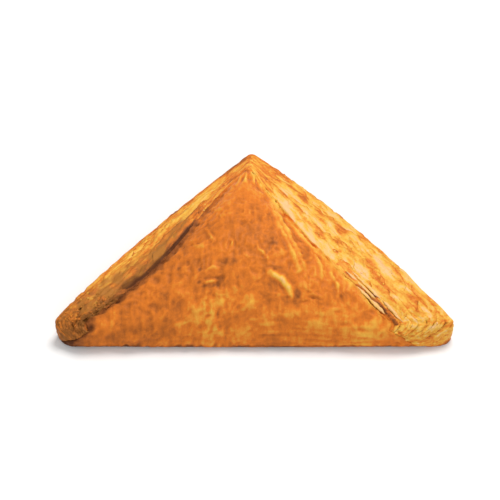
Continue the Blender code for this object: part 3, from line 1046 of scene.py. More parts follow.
def baked(point, station, share):
    """How baked, with painted light and shade included, and how dully tan, a point of the cut sides
    is, before its leaf's difference.
    """
    up = station.rim.y / MM
    rough = roughness(station)
    grain = grain_place(station, share, point)
    streak = STREAK * noise.noise(grain) + FINE_STREAK * noise.noise(grain * FINE_STREAK_SCALE)
    patch = PATCH * noise.noise(point / PATCH_WAVE)
    patch += LONG_PATCH * noise.noise(grain * LONG_PATCH_SCALE)
    place = Vector((up, share * SIDE_DEEP))
    if station.left:
        # The inner zone is partly browner and partly painted shade cast by the mound, and the left's
        # base value is partly painted shade of the side turned from the key light.
        inner = INNER_BROWN_AND_SHADE_LEFT * zone(share, *INNER_ZONES[0]) * zone(up, *INNER_ZONES[1])
        # Painted light and shade on the rough corner: crests paler, gaps darker.
        rough_shading = -ROUGH_SHADING_LEFT * rough * rough_worms(point)
        bake = BAKE_AND_SHADE_LEFT + graded(up, GRADES_LEFT) + inner + rough_shading + patch
        bake = max(LEFT_PALEST, bake + STREAK_LEFT * streak + toned(place, TONES_LEFT))
        patchy = TAN_MEAN + TAN_PATCH * noise.noise(point / TAN_PATCH_WAVE)
        dull = patchy * toned(place, TANS_LEFT) * zone(share, *TAN_ZONE)
        return bake, max(dull, TAN_ROUGH * rough) * (TAN_MEAN + TAN_STREAK * streak)
    # Painted light and shade on the rough right corner: crests paler, gaps darker.
    corners = graded(up, GRADES_RIGHT) - ROUGH_SHADING_RIGHT * rough * rough_worms(point)
    bake = BAKE_RIGHT + corners + patch + streak + toned(place, TONES_RIGHT)
    if share < RIGHT_PALE_SHARE:
        bake = min(bake, RIGHT_PALE + RIGHT_PALE_OVER * (bake - RIGHT_PALE))
    return bake, 0.0


def shape_leaf(vertex, layers, station, after, leaf):
    """Puts a vertex on a row of the leaves, with its marks, and returns its move outwards."""
    bake, tan, grain = layers
    share, lift, tone, number = leaf
    leafy = leafiness(station, share)
    wave = LEAF_WANDER * wander(station.rim, LEAF_WANDER_WAVE, LEAF_WANDER_SEED * number)
    share += leafy * wave / (WALL_LEAVES + SLOPE_LEAVES)
    share = min(LEAF_LAST, max(LEAF_FIRST, share))
    point = side_point(station, share)
    slope = zone(share, WALL_SHARE, SLOPE_REACH)
    rough = roughness(station)
    leafed = 1 - max(SLOPE_FLAT * slope, ROUGH_FLAT * rough)
    ragged = LEAF_RAGGED * wander(station.rim, LEAF_RAGGED_WAVE, LEAF_RAGGED_SEED * number)
    if lift <= 0:
        ragged *= GROOVE_RAGGED
    raised = leafed * lift + (1 - ROUGH_EVEN * rough) * ragged
    bumps = ROUGH_HEIGHT * (ROUGH_WALL_SHARE + (1 - ROUGH_WALL_SHARE) * slope)
    raised += bumps * rough * (rough_worms(point) - ROUGH_SINK)
    raised = raised * leafy - UNDER_SHEET * (1 - leafy)
    dark, dull = baked(point, station, share)
    vertex.co = point
    # Painted shade: the row's tone darkens the groove under each lip, and the foot gets painted
    # contact shade.
    vertex[bake] = tone * leafed + dark + FOOT_SHADE * ease(1 - point.z / FOOT_RISE)
    vertex[tan] = dull
    vertex[grain] = grain_place(station, share, point)
    ahead = side_point(after, share) - point
    above = side_point(station, share + NEAR) - point
    return ahead.cross(above).normalized() * raised


def build_body(material):
    """The body of leaves: a sphere whose rings are moved to rows round the puff."""
    ring = make_ring().whole
    half = FOLD_STEPS // 2
    ring = ring[half:] + ring[:half]
    leaves = leaf_rows()
    edge_row = len(leaves) + 2
    columns = len(ring)
    rows = edge_row + len(TOP_RINGS) + 1
    bm = bmesh.new()
    bmesh.ops.create_uvsphere(bm, u_segments=columns, v_segments=rows, radius=1.0)
    layers = marks(bm)
    bake = layers[0]
    moves = {}
    for vertex in bm.verts:
        height = min(1.0, max(-1.0, vertex.co.z))
        row = round(rows * (1 - math.acos(height) / math.pi))
        column = round(columns * math.atan2(vertex.co.y, vertex.co.x) / math.tau) % columns
        station = ring[column]
        vertex[bake] = BAKE_UNDER
        if row == 0:
            vertex.co = lifted(MOUND_CENTRE, 0.0)
        elif row == rows:
            vertex.co = lifted(MOUND_CENTRE, top_height(MOUND_CENTRE) - UNDER_SHEET)
        elif row == 1:
            vertex.co = side_point(station, 0.0)
        elif row < edge_row:
            after = ring[(column + 1) % columns]
            moves[vertex] = shape_leaf(vertex, layers, station, after, leaves[row - 2])
        elif row == edge_row:
            drop = UNDER_SHEET + (UNDER_EDGE - UNDER_SHEET) * leafiness(station, 1.0)
            vertex.co = side_point(station, 1.0) - Vector((0, 0, drop))
            # Painted shadow: the body is darkened where it lies under the sheet's edge.
            vertex[bake] = EDGE_SHADOW_LEFT if station.left else EDGE_SHADOW_RIGHT
        else:
            place = station.ridge.lerp(MOUND_CENTRE, TOP_RINGS[row - edge_row - 1])
            vertex.co = lifted(place, top_height(place) - UNDER_SHEET)
    for vertex, move in moves.items():
        vertex.co += move
        vertex.co.z = max(0.0, vertex.co.z)
    return settle(mesh_object("pastry_body", bm), material, replaces=True)


# ---------------------------------------------------------------- the top sheet


def crease_height(place):
    """The height in millimetres that the creases add at a point of the plan in millimetres."""
    height = 0.0
    for points, rise, width in CREASES:
        gap, along = gap_to_line(place, points)
        if gap < CREASE_END * width:
            taper = math.sin(math.pi * min(CREASE_TAPER[1], max(CREASE_TAPER[0], along)))
            height = max(height, rise * taper**0.5 * math.exp(-((gap / width) ** 2)))
            height -= CREASE_TROUGH * rise * math.exp(-(((gap - 2 * width) / width) ** 2))
    return height


def stain_and_shadow_at(place):
    """How dark a point of the plan, in millimetres, is from the stains and the two painted shadows
    among them: the strongest there.
    """
    dark = 0.0
    for x, y, wide, deep, strength in STAINS_AND_SHADOWS:
        reach = math.hypot((place.x - x) / wide, (place.y - y) / deep)
        stain_and_shadow = strength * ease(STAIN_END - reach)
        if abs(stain_and_shadow) > abs(dark):
            dark = stain_and_shadow
    return dark


def crust_flow(point):
    """Where a point of the crust is on its grain, whose streaks fan out from behind the tip."""
    away = point / MM - CRUST_POLE
    reach = math.hypot(away.x, away.y)
    angle = math.atan2(away.x, -away.y)
    across = angle * reach / CRUST_STREAK_WIDE
    return Vector((reach / CRUST_STREAK_LONG, across, away.z / CRUST_STREAK_HIGH))


def crust_relief(point, sizes):
    """The height that blisters, wrinkles and creases add to the crust at a point, and its tone.

    The tone is painted light and shade: the valleys are painted darker than the ridges.
    """
    spot = point / MM
    bent = spot + noise_vector(spot / CRUST_DRIFT_WAVE) * CRUST_DRIFT
    fine = worms(bent / WORM_WAVE, WORM_CREST, WORM_FALL)
    fine += KNOB * noise.noise(bent / KNOB_WAVE + KNOB_SHIFT)
    blister = 0.0
    for strength, wave in BLISTERS:
        blister += strength * noise.noise(bent / wave)
    low = zone(spot.y, *LOW_ZONE)
    right = zone(spot.x, *PLEAT_ZONES[0]) * zone(spot.x, *PLEAT_ZONES[1])
    left = zone(spot.x, *STROKE_ZONES[0]) * zone(spot.y, *STROKE_ZONES[1])
    smooth = 1 - SMOOTHING * zone(spot.y, *TIP_ZONE)
    long, high, deep = PLEAT_WAVES
    pleats = noise.noise(Vector((spot.x / long, spot.z / high, spot.y / deep)))
    strokes = noise.noise(crust_flow(point))
    fine = sizes.wrinkle * fine * (1 - SMOOTHING * low * right) * smooth
    fine += PLEAT * pleats * low * right + STROKE * strokes * (STROKE_MEAN + STROKE_LEFT * left)
    crease = crease_height(Vector((spot.x, spot.y)))
    # Painted light and shade: crests, creases and blisters are painted paler, valleys darker.
    tone = -FINE_SHADING * fine / MM - CREASE_SHADING * crease - BLISTER_SHADING * blister
    return fine + sizes.blister * blister + crease * MM, tone


def sheet_edge(side, left):
    """The edge of the sheet on one side: its plan points, each with the push that makes it ragged."""
    ridge = [side[0].ridge] + [station.ridge for station in side[CORNER_STEPS:]]
    points = even_points(ridge, SHEET_TOP_ROWS)
    edge = []
    for index, point in enumerate(points):
        spot = point / MM
        ahead = points[min(index + 1, len(points) - 1)] - points[max(index - 1, 0)]
        outward = Vector((ahead.y, -ahead.x)).normalized() * (-1 if left else 1)
        push = 0.0
        for strength, wave, seed in EDGE_TEARS:
            push += strength * wander(spot, wave, seed + left)
        if not left:
            strength, wave, seed = EDGE_WANDER_RIGHT
            push += strength * wander(spot, wave, seed)
            start, end = EDGE_NOTCH_ZONES
            push -= EDGE_NOTCH_RIGHT * zone(spot.y, *start) * zone(spot.y, *end)
        fade = zone(spot.y, *EDGE_ZONES[0]) * zone(spot.y, *EDGE_ZONES[1])
        edge.append((point, outward * (push * fade * MM)))
    return edge


def sheet_end(share, mean, swing, wave, seed):
    """How far, in stations, the sheet's ragged end on the fold is moved, at a share of its rows."""
    return mean + swing * wander(Vector((0.0, END_RUN * share)), wave, seed)


def sheet_row(ring, row):
    """One row of the sheet on the fold: a function from a share across to a point."""
    count = len(ring.fold) - 1
    share = row / SHEET_FOLD_ROWS
    low = SHEET_PAST_LEFT * share + sheet_end(share, *SHEET_END_LEFT) * (1 - share)
    high = count + (SHEET_PAST_RIGHT + sheet_end(share, *SHEET_END_RIGHT)) * (1 - share)

    def point(across):
        place = low + (high - low) * across
        return side_point(between(ring.fold, place / count), share)

    return point


def crust_bake_and_shade(spot, inside, on_left, tone):
    """How baked the crust is at a spot in millimetres, some way inside its edge, with painted light
    and shade added in.

    The tone is the painted light and shade that the crust's relief adds there.
    """
    if on_left:
        # Along the left edge: a brown band, partly browner crust and partly painted shadow in the
        # seam.
        swing = EDGE_LEFT_SWING * noise.noise(spot / EDGE_LEFT_WAVE)
        brown = ease(1 - inside / EDGE_LEFT_REACH + swing)
        tone += EDGE_LEFT * brown * zone(spot.y, *EDGE_LEFT_ZONE)
        tone += graded(spot.x, CORNER_GRADES)
    else:
        fade = EDGE_RIGHT_MEAN + EDGE_RIGHT_SWING * noise.noise(spot / EDGE_RIGHT_WAVE)
        pale = EDGE_RIGHT * fade * ease(1 - inside / EDGE_RIGHT_REACH)
        tone -= pale * zone(spot.y, *EDGE_RIGHT_ZONE)
    mottle = STAIN_MEAN + STAIN_SWING * noise.noise(spot / STAIN_WAVE)
    stain_and_shadow = stain_and_shadow_at(Vector((spot.x, spot.y))) * mottle
    along, across = FRONT_LEFT_ZONES
    tone += FRONT_LEFT * zone(spot.y, *along) * zone(spot.x, *across)
    # Painted light: the crust is painted paler towards the tip, where its top slopes back to the
    # light.
    tone -= TIP_PAINTED_LIGHT * zone(spot.y, *TIP_ZONE)
    # Painted contact shade is added at the foot.
    return CRUST_BAKE + tone + STAIN_AND_SHADOW_STRENGTH * stain_and_shadow + CRUST_FOOT_SHADE * ease(1 - spot.z / CRUST_FOOT_RISE)


def golden(spot):
    """How much less baked the crust's golden patches are, at a spot in millimetres."""
    bent = spot + noise_vector(spot / GOLDEN_DRIFT_WAVE) * GOLDEN_DRIFT
    patch = ease(0.5 + GOLDEN_SWING * noise.noise(bent / GOLDEN_WAVE))
    return GOLDEN * patch * zone(spot.y, *GOLDEN_ZONE)


def build_crust(material, sizes):
    """The glazed top sheet: a grid laid over the fold's front and the mound, then thickened."""
    ring = make_ring()
    columns, rows = SHEET_COLUMNS, SHEET_FOLD_ROWS + SHEET_TOP_ROWS
    lefts = sheet_edge(ring.left, True)
    rights = sheet_edge(ring.right, False)
    bm = bmesh.new()
    bmesh.ops.create_grid(bm, x_segments=columns, y_segments=rows, size=1.0)
    bake, _, grain = marks(bm)
    fold_rows = [sheet_row(ring, row) for row in range(SHEET_FOLD_ROWS + 1)]
    bows = []
    for column in range(columns + 1):
        top = fold_rows[-1](column / columns).to_2d()
        bows.append(top - lefts[0][0].lerp(rights[0][0], column / columns))
    lifts = {}
    for vertex in bm.verts:
        across = (vertex.co.x + 1) / 2
        row = round((vertex.co.y + 1) / 2 * rows)
        on_left = across < 0.5
        edge = min(across, 1 - across)
        if row <= SHEET_FOLD_ROWS:
            vertex.co = fold_rows[row](across)
            inside = edge * SHEET_SPAN
        else:
            step = row - SHEET_FOLD_ROWS
            (left, push_left), (right, push_right) = lefts[step], rights[step]
            inside = edge * (right - left).length
            bow = bows[round(across * columns)] * ease(1 - step / SHEET_TOP_ROWS)
            push = push_left if on_left else push_right
            place = left.lerp(right, across) + bow + push * ease(1 - inside / SHEET_PUSH_REACH)
            vertex.co = lifted(place, top_height(place))
        curl = sizes.sheet_curl * (CURL_MEAN + CURL_SWING * noise.noise(vertex.co / CURL_WAVE))
        curl *= max(0.0, 1 - inside / CURL_REACH) ** 2 * (CURL_LEFT if on_left else 1.0)
        curl *= ease((row - SHEET_FOLD_ROWS) / CURL_FOLD_ROWS) * ease((rows - row) / CURL_TIP_ROWS)
        spot = vertex.co / MM
        relief, tone = crust_relief(vertex.co, sizes)
        lifts[vertex] = relief * ease(inside / RELIEF_EDGE) * ease(spot.z / RELIEF_RISE) + curl
        vertex[bake] = crust_bake_and_shade(spot, inside, on_left, tone)
        vertex[bake] -= golden(spot)
        vertex[grain] = crust_flow(vertex.co)
    bm.normal_update()
    normals = {vertex: vertex.normal.copy() for vertex in lifts}
    for vertex, lift in lifts.items():
        vertex.co += normals[vertex] * lift
        vertex.co.z = max(FLOOR_GAP, vertex.co.z)
    bmesh.ops.remove_doubles(bm, verts=bm.verts[:], dist=MERGE_GAP)
    sheet = settle(mesh_object("top_crust", bm), material, replaces=True)
    return thicken(sheet, sizes.sheet_thickness)


# ---------------------------------------------------------------- loose leaves, shards, crumbs


def side_frame(stations, along, share):
    """A point of a cut side, with its normal, the ways downhill and ahead, and its station."""
    station = between(stations, along)
    point = side_point(station, share)
    ahead = side_point(between(stations, along + NEAR_ALONG), share) - point
    down = side_point(station, share - NEAR_DOWN) - point
    normal = ahead.cross(down) if station.left else down.cross(ahead)
    return point, normal.normalized(), down.normalized(), ahead.normalized(), station


def add_leaf(bm, layers, stations, draw, seed):
    """One long thin leaf that lies on a cut side with its ragged outer edge lifted."""
    bake, tan, grain = layers
    length = draw.uniform(*LEAF_LENGTHS)
    start = draw.uniform(LEAF_ENDS[0], LEAF_ENDS[1] - length)
    shelf = draw.uniform(*LEAF_SHELVES)
    width = draw.uniform(*LEAF_WIDTHS)
    lift = draw.uniform(*LEAF_LIFTS) * MM
    tone = draw.uniform(*LEAF_TONES)
    columns = max(LEAF_FEWEST_COLUMNS, int(LEAF_COLUMNS * length))
    made = bmesh.ops.create_grid(bm, x_segments=columns, y_segments=LEAF_DEPTH_ROWS, size=1.0)
    for vertex in made["verts"]:
        run, out = (vertex.co.x + 1) / 2, (vertex.co.y + 1) / 2
        along = start + length * run
        taper = min(1.0, math.sin(math.pi * run) * LEAF_TAPER) ** LEAF_TAPER_POWER
        rim = between(stations, along).rim
        ragged = 1
        for strength, wave in LEAF_TEARS:
            ragged += strength * wander(rim, wave, seed)
        root = shelf + LEAF_SWAY * wander(rim, LEAF_SWAY_WAVE, seed + 2) + LEAF_TUCK
        share = min(LEAF_SHARES[1], max(LEAF_SHARES[0], root - out * width * taper * ragged))
        point, normal, _, _, station = side_frame(stations, along, share)
        bumps = LEAF_BUMP * out * noise.noise(point / LEAF_BUMP_WAVE)
        height = -LEAF_ROOT + (lift + LEAF_ROOT) * out**LEAF_RISE_POWER * taper + bumps
        vertex.co = point + normal * height
        dark, dull = baked(point, station, share)
        vertex[bake] = LEAF_BAKE + tone + LEAF_EDGE_BAKE * out**4 + dark
        vertex[tan] = dull
        vertex[grain] = grain_place(station, share, point, seed)
    if not stations[-2].left:
        faces = {face for vertex in made["verts"] for face in vertex.link_faces}
        bmesh.ops.reverse_faces(bm, faces=list(faces))


def build_leaves(material, sizes):
    """The loose leaves of both cut sides, as one piece a side."""
    ring = make_ring()
    draw = random.Random(sizes.seed)
    for name, stations, count in (
        ("leaves_right", ring.right, sizes.leaves_right),
        ("leaves_left", ring.left, sizes.leaves_left),
    ):
        bm = bmesh.new()
        layers = marks(bm)
        for number in range(count):
            add_leaf(bm, layers, stations, draw, LEAF_SEED_STEP * number)
        thicken(settle(mesh_object(name, bm), material), sizes.leaf_thickness)


def add_shard(bm, layers, stations, draw, seed):
    """A short torn shard that lies, curled, along the right ridge."""
    bake, _, grain = layers
    along = draw.uniform(*SHARD_PLACES)
    share = draw.choice(SHARD_SHARES) + draw.uniform(-SHARD_SPREAD, SHARD_SPREAD)
    length = draw.uniform(*SHARD_LENGTHS) * MM
    width = draw.uniform(*SHARD_WIDTHS) * MM
    turn = draw.uniform(-SHARD_TURN, SHARD_TURN)
    tilt = draw.uniform(*SHARD_TILTS)
    tone = draw.uniform(*SHARD_TONES)
    point, normal, down, ahead, _ = side_frame(stations, along, share)
    run = (ahead * math.cos(turn) + down * math.sin(turn)).normalized()
    side = normal.cross(run).normalized()
    out = (side * math.cos(tilt) + normal * math.sin(tilt)).normalized()
    made = bmesh.ops.create_grid(bm, x_segments=SHARD_COLUMNS, y_segments=SHARD_ROWS, size=1.0)
    for vertex in made["verts"]:
        u, v = vertex.co.x, vertex.co.y
        torn = 1 + SHARD_TORN * noise.noise(Vector((u * SHARD_TORN_WAVE, v, seed)))
        taper = max(SHARD_NARROWEST, 1 - abs(u) ** 3)
        curl = SHARD_CURL * noise.noise(Vector((u * SHARD_CURL_WAVE, v, seed + 5)))
        curl -= SHARD_ROUND * v * v + SHARD_DROOP * u**4
        vertex.co = point + run * (u * length / 2) + out * (v * width / 2 * taper * torn)
        vertex.co += normal * (SHARD_HEIGHT + curl)
        vertex[bake] = SHARD_BAKE + tone + SHARD_EDGE_BAKE * abs(v) ** 3
        streak = u * length / (SIDE_STREAK_LONG * MM)
        vertex[grain] = Vector((streak, v * SHARD_STREAKS, seed))


def build_shards(material, sizes):
    """The torn shards of the right ridge, as one piece."""
    ring = make_ring()
    draw = random.Random(sizes.seed + 1)
    bm = bmesh.new()
    layers = marks(bm)
    for number in range(sizes.shards):
        add_shard(bm, layers, ring.right, draw, SHARD_SEED_STEP * number)
    return thicken(settle(mesh_object("torn_shards", bm), material), sizes.leaf_thickness)


def build_crumbs(material, sizes):
    """Small rough crumbs, most of them at the left corner."""
    ring = make_ring()
    draw = random.Random(sizes.seed + 2)
    bm = bmesh.new()
    bake, tan, grain = marks(bm)
    for number in range(sizes.crumbs):
        left = draw.random() < CRUMBS_LEFT
        cornered = left and draw.random() < CRUMBS_CORNER
        along = draw.uniform(*(CRUMB_CORNER_PLACES if cornered else CRUMB_PLACES))
        share = draw.uniform(*CRUMB_SHARES)
        side = ring.left if left else ring.right
        point, normal, _, _, station = side_frame(side, along, share)
        radius = draw.uniform(*CRUMB_RADII) * MM
        made = bmesh.ops.create_icosphere(bm, subdivisions=2, radius=1.0)
        squash = Vector([draw.uniform(*reach) for reach in (CRUMB_WIDE, CRUMB_WIDE, CRUMB_HIGH)])
        tone = draw.uniform(*CRUMB_TONES)
        dark, dull = baked(point, station, share)
        for vertex in made["verts"]:
            place = vertex.co * CRUMB_ROUGH_SCALE + Vector((CRUMB_SEED_STEP * number, 0, 0))
            size = radius * (1 + CRUMB_ROUGH * noise.noise(place))
            vertex.co = point + normal * CRUMB_HEIGHT + vertex.co * squash * size
            vertex[bake] = tone + min(CRUMB_DARKEST, dark)
            vertex[tan] = dull
            vertex[grain] = vertex.co / CRUMB_GRAIN
    return settle(mesh_object("crumbs", bm), material)


# ---------------------------------------------------------------- materials

# The noises of a finish: where they are read, their scale, detail and distortion.
WORM_NOISE = ("Vector", 620.0, 3.0, 1.8)
CLOUD_NOISE = ("Vector", 130.0, 3.0, 0.6)
SPECK_NOISE = ("Vector", 1700.0, 2.0, 0.0)
STREAK_NOISE = ("Grain", 1.0, 4.0, 0.5)
# How much the clouds count beside the worms, and the specks and streaks in the height. Then the
# roughness: how much it changes with the worms, and its mean.
CLOUD_SHARE = 0.5
SPECK_HEIGHT = 0.3
STREAK_HEIGHT = 2.0
ROUGHNESS_SWING = 0.4
ROUGHNESS_MEAN = 0.5
# How baked the pastry is at each colour, from cream to dark.
COLOUR_STOPS = (0.0, 0.25, 0.5, 0.76, 1.0)
COAT_ROUGHNESS = 0.3
# The two finishes: mottle, streak, speckle, bump, coat and specular level.
GLAZED_CRUST = (0.16, 0.22, 0.08, 0.1 * MM, 0.02, 0.06)
PASTRY_LEAVES = (0.3, 0.7, 0.15, 0.15 * MM, 0.0, 0.1)


def new_socket(group, name, in_out, kind, default=None):
    """A new input or output of a node group."""
    socket = group.interface.new_socket(name=name, in_out=in_out, socket_type=kind)
    if default is not None:
        socket.default_value = default
    return socket


def baked_pastry_group(colours):
    """Node group: from how baked a place is, painted light and shade included, to its colour and
    height, with mottling of its own.
    """
    group = bpy.data.node_groups.new("baked_pastry", "ShaderNodeTree")
    new_socket(group, "Vector", "INPUT", "NodeSocketVector")
    new_socket(group, "Grain", "INPUT", "NodeSocketVector")
    new_socket(group, "Bake", "INPUT", "NodeSocketFloat", 0.5)
    new_socket(group, "Tan", "INPUT", "NodeSocketFloat", 0.0)
    new_socket(group, "Mottle", "INPUT", "NodeSocketFloat", 0.1)
    new_socket(group, "Streak", "INPUT", "NodeSocketFloat", 0.1)
    new_socket(group, "Speckle", "INPUT", "NodeSocketFloat", 0.05)
    new_socket(group, "Color", "OUTPUT", "NodeSocketColor")
    new_socket(group, "Height", "OUTPUT", "NodeSocketFloat")
    new_socket(group, "Roughness", "OUTPUT", "NodeSocketFloat")
    nodes, links = group.nodes, group.links
    inside = nodes.new("NodeGroupInput")
    outside = nodes.new("NodeGroupOutput")

    def noise_at(source, scale, detail, distortion):
        """Noise about 0."""
        texture = nodes.new("ShaderNodeTexNoise")
        texture.inputs["Scale"].default_value = scale
        texture.inputs["Detail"].default_value = detail
        texture.inputs["Distortion"].default_value = distortion
        links.new(inside.outputs[source], texture.inputs["Vector"])
        return math_of("SUBTRACT", texture.outputs["Fac"], 0.5)

    def math_of(operation, first, second=0.0, third=0.0):
        """The output of a maths node, whose inputs are numbers or other nodes' outputs."""
        node = nodes.new("ShaderNodeMath")
        node.operation = operation
        for socket, value in zip(node.inputs, (first, second, third)):
            if isinstance(value, (int, float)):
                socket.default_value = value
            else:
                links.new(value, socket)
        return node.outputs[0]

    wavy = noise_at(*WORM_NOISE)
    clouds = noise_at(*CLOUD_NOISE)
    specks = noise_at(*SPECK_NOISE)
    streaks = noise_at(*STREAK_NOISE)
    cloudy = math_of("MULTIPLY", inside.outputs["Mottle"], CLOUD_SHARE)
    tone = math_of("MULTIPLY_ADD", wavy, inside.outputs["Mottle"], inside.outputs["Bake"])
    tone = math_of("MULTIPLY_ADD", clouds, cloudy, tone)
    tone = math_of("MULTIPLY_ADD", streaks, inside.outputs["Streak"], tone)
    tone = math_of("MULTIPLY_ADD", specks, inside.outputs["Speckle"], tone)
    ramp = nodes.new("ShaderNodeValToRGB")
    stops = ramp.color_ramp.elements
    tones = (colours.cream, colours.yellow, colours.orange, colours.brown, colours.dark)
    for index, (position, colour) in enumerate(zip(COLOUR_STOPS, tones)):
        # A new ramp has two stops.
        stop = stops[index] if index < 2 else stops.new(position)
        stop.position = position
        stop.color = colour
    links.new(tone, ramp.inputs["Fac"])
    dull = nodes.new("ShaderNodeMix")
    dull.data_type = "RGBA"
    links.new(inside.outputs["Tan"], dull.inputs[0])
    links.new(ramp.outputs["Color"], dull.inputs[6])
    dull.inputs[7].default_value = colours.tan
    links.new(dull.outputs[2], outside.inputs["Color"])
    height = math_of("MULTIPLY_ADD", specks, SPECK_HEIGHT, wavy)
    streaky = math_of("MULTIPLY", inside.outputs["Streak"], STREAK_HEIGHT)
    height = math_of("MULTIPLY_ADD", streaks, streaky, height)
    links.new(height, outside.inputs["Height"])
    rough = math_of("MULTIPLY_ADD", wavy, ROUGHNESS_SWING, ROUGHNESS_MEAN)
    links.new(rough, outside.inputs["Roughness"])
    return group


def pastry_material(name, group, mottle, streak, speckle, bump, coat, specular):
    """A pastry finish: the shared group in a Principled shader, with its own values."""
    material = bpy.data.materials.new(name)
    material.use_nodes = True
    nodes, links = material.node_tree.nodes, material.node_tree.links
    shader = nodes["Principled BSDF"]
    shader.inputs["Specular IOR Level"].default_value = specular
    shader.inputs["Coat Weight"].default_value = coat
    shader.inputs["Coat Roughness"].default_value = COAT_ROUGHNESS
    place = nodes.new("ShaderNodeTexCoord")
    pastry = nodes.new("ShaderNodeGroup")
    pastry.node_tree = group
    pastry.inputs["Mottle"].default_value = mottle
    pastry.inputs["Streak"].default_value = streak
    pastry.inputs["Speckle"].default_value = speckle
    links.new(place.outputs["Object"], pastry.inputs["Vector"])
    for attribute, output, socket in (
        ("bake", "Fac", "Bake"),
        ("tan", "Fac", "Tan"),
        ("grain", "Vector", "Grain"),
    ):
        reader = nodes.new("ShaderNodeAttribute")
        reader.attribute_name = attribute
        links.new(reader.outputs[output], pastry.inputs[socket])
    bumps = nodes.new("ShaderNodeBump")
    bumps.inputs["Strength"].default_value = 1.0
    bumps.inputs["Distance"].default_value = bump
    links.new(pastry.outputs["Height"], bumps.inputs["Height"])
    links.new(bumps.outputs["Normal"], shader.inputs["Normal"])
    links.new(pastry.outputs["Color"], shader.inputs["Base Color"])
    links.new(pastry.outputs["Roughness"], shader.inputs["Roughness"])
    return material


def materials():
    """The pastry's two finishes, made once."""
    colours = bpy.context.scene.puff_colours
    group = bpy.data.node_groups.get("baked_pastry") or baked_pastry_group(colours)
    finishes = []
    for name, values in (("glazed_crust", GLAZED_CRUST), ("pastry_leaves", PASTRY_LEAVES)):
        made = bpy.data.materials.get(name) or pastry_material(name, group, *values)
        finishes.append(made)
    return finishes


# ---------------------------------------------------------------- operators


class PUFF_OT_body(bpy.types.Operator):
    """Builds the body of leaves under the top sheet"""

    bl_idname = "puff.body"
    bl_label = "Body of Leaves"

    def execute(self, context):
        build_body(materials()[1])
        return {"FINISHED"}


class PUFF_OT_crust(bpy.types.Operator):
    """Builds the glazed top sheet"""

    bl_idname = "puff.crust"
    bl_label = "Top Crust"

    def execute(self, context):
        build_crust(materials()[0], context.scene.puff_sizes)
        return {"FINISHED"}


class PUFF_OT_leaves(bpy.types.Operator):
    """Lays loose leaves on the two cut sides"""

    bl_idname = "puff.leaves"
    bl_label = "Loose Leaves"

    def execute(self, context):
        build_leaves(materials()[1], context.scene.puff_sizes)
        return {"FINISHED"}


class PUFF_OT_shards(bpy.types.Operator):
    """Lays torn shards along the right ridge"""

    bl_idname = "puff.shards"
    bl_label = "Torn Shards"

    def execute(self, context):
        build_shards(materials()[1], context.scene.puff_sizes)
        return {"FINISHED"}


class PUFF_OT_crumbs(bpy.types.Operator):
    """Scatters crumbs over the cut sides"""

    bl_idname = "puff.crumbs"
    bl_label = "Crumbs"

    def execute(self, context):
        build_crumbs(materials()[1], context.scene.puff_sizes)
        return {"FINISHED"}


# ---------------------------------------------------------------- the stage

# The camera looks down by CAMERA_ELEVATION degrees, from the front. Its lens is in millimetres.
CAMERA_ELEVATION = 53.0
CAMERA_DISTANCE = 1.4
CAMERA_LENS = 285.7
CAMERA_SENSOR = 36.0
CAMERA_REACH = 20.0
CAMERA_TARGET = Vector((-0.5, -5.2, 12.0)) * MM
# The soft lights: place, side, power in watts and colour. The sky is plain white.
KEY_LIGHT = ((0.2, 0.39, 0.9), 0.45, 7.5, (1.0, 0.98, 0.95))
FILL_LIGHT = ((0.1, -0.9, 0.7), 0.8, 2.7, (1.0, 1.0, 1.0))
SKY_COLOUR = (1.0, 1.0, 1.0, 1.0)
SKY_STRENGTH = 0.57
FLOOR_SIZE = 4.0
FLOOR_ROUGHNESS = 0.9
FLOOR_SPECULAR = 0.1


def aim(obj, place, target):
    """Puts an object at a place and turns its -Z axis to a target."""
    obj.location = place
    obj.rotation_euler = (Vector(target) - Vector(place)).to_track_quat("-Z", "Y").to_euler()


def area_light(name, place, size, power, colour):
    """A square soft light that shines on the puff."""
    light = bpy.data.lights.new(name, "AREA")
    light.size = size
    light.energy = power
    light.color = colour
    obj = bpy.data.objects.new(name, light)
    bpy.context.scene.collection.objects.link(obj)
    aim(obj, place, (0, 0, 0))


def build_floor(colour):
    """The plain floor that the puff rests on."""
    bm = bmesh.new()
    bmesh.ops.create_grid(bm, x_segments=1, y_segments=1, size=FLOOR_SIZE / 2)
    floor = mesh_object("floor", bm)
    material = bpy.data.materials.new("pale_floor")
    material.use_nodes = True
    shader = material.node_tree.nodes["Principled BSDF"]
    shader.inputs["Base Color"].default_value = colour
    shader.inputs["Roughness"].default_value = FLOOR_ROUGHNESS
    shader.inputs["Specular IOR Level"].default_value = FLOOR_SPECULAR
    floor.data.materials.append(material)


def build_camera():
    """The camera, which looks down on the fold."""
    elevation = math.radians(CAMERA_ELEVATION)
    back = Vector((0.0, -math.cos(elevation), math.sin(elevation)))
    camera = bpy.data.objects.new("camera", bpy.data.cameras.new("camera"))
    camera.data.lens = CAMERA_LENS
    camera.data.sensor_width = CAMERA_SENSOR
    camera.data.clip_end = CAMERA_REACH
    bpy.context.scene.collection.objects.link(camera)
    aim(camera, CAMERA_TARGET + back * CAMERA_DISTANCE, CAMERA_TARGET)
    bpy.context.scene.camera = camera


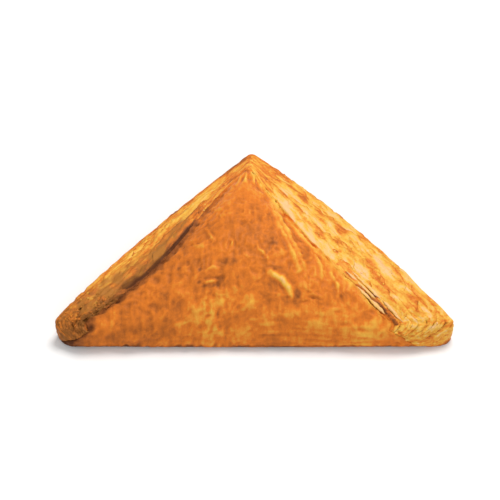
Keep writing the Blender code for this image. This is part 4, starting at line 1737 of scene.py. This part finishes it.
class PUFF_OT_stage(bpy.types.Operator):
    """Sets up the floor, the soft lights and the camera"""

    bl_idname = "puff.stage"
    bl_label = "Stage"

    def execute(self, context):
        build_floor(context.scene.puff_colours.floor)
        world = bpy.data.worlds.new("studio")
        world.use_nodes = True
        background = world.node_tree.nodes["Background"]
        background.inputs["Color"].default_value = SKY_COLOUR
        background.inputs["Strength"].default_value = SKY_STRENGTH
        context.scene.world = world
        context.scene.view_settings.view_transform = "Standard"
        area_light("key", *KEY_LIGHT)
        area_light("fill", *FILL_LIGHT)
        build_camera()
        return {"FINISHED"}


class PUFF_PT_panel(bpy.types.Panel):
    """Lists the puff's operators, sizes and colours"""

    bl_idname = "PUFF_PT_panel"
    bl_label = "Tuna Puff"
    bl_space_type = "VIEW_3D"
    bl_region_type = "UI"
    bl_category = "Puff"

    def draw(self, context):
        column = self.layout.column()
        for operator in OPERATORS:
            column.operator(operator.bl_idname)
        for group in (context.scene.puff_sizes, context.scene.puff_colours):
            for name in group.bl_rna.properties.keys():
                if name not in ("rna_type", "name"):
                    column.prop(group, name)


OPERATORS = (
    PUFF_OT_body,
    PUFF_OT_crust,
    PUFF_OT_leaves,
    PUFF_OT_shards,
    PUFF_OT_crumbs,
    PUFF_OT_stage,
)
CLASSES = (PuffSizes, PuffColours, *OPERATORS, PUFF_PT_panel)


def register():
    """Adds the operators, the panel and the scene's puff settings."""
    for cls in CLASSES:
        bpy.utils.register_class(cls)
    bpy.types.Scene.puff_sizes = PointerProperty(type=PuffSizes)
    bpy.types.Scene.puff_colours = PointerProperty(type=PuffColours)


def unregister():
    """Takes them out again."""
    del bpy.types.Scene.puff_colours
    del bpy.types.Scene.puff_sizes
    for cls in reversed(CLASSES):
        bpy.utils.unregister_class(cls)


def main():
    """Builds the puff and its stage."""
    register()
    bpy.ops.puff.body()
    bpy.ops.puff.crust()
    bpy.ops.puff.leaves()
    bpy.ops.puff.shards()
    bpy.ops.puff.crumbs()
    bpy.ops.puff.stage()


if __name__ == "__main__":
    main()
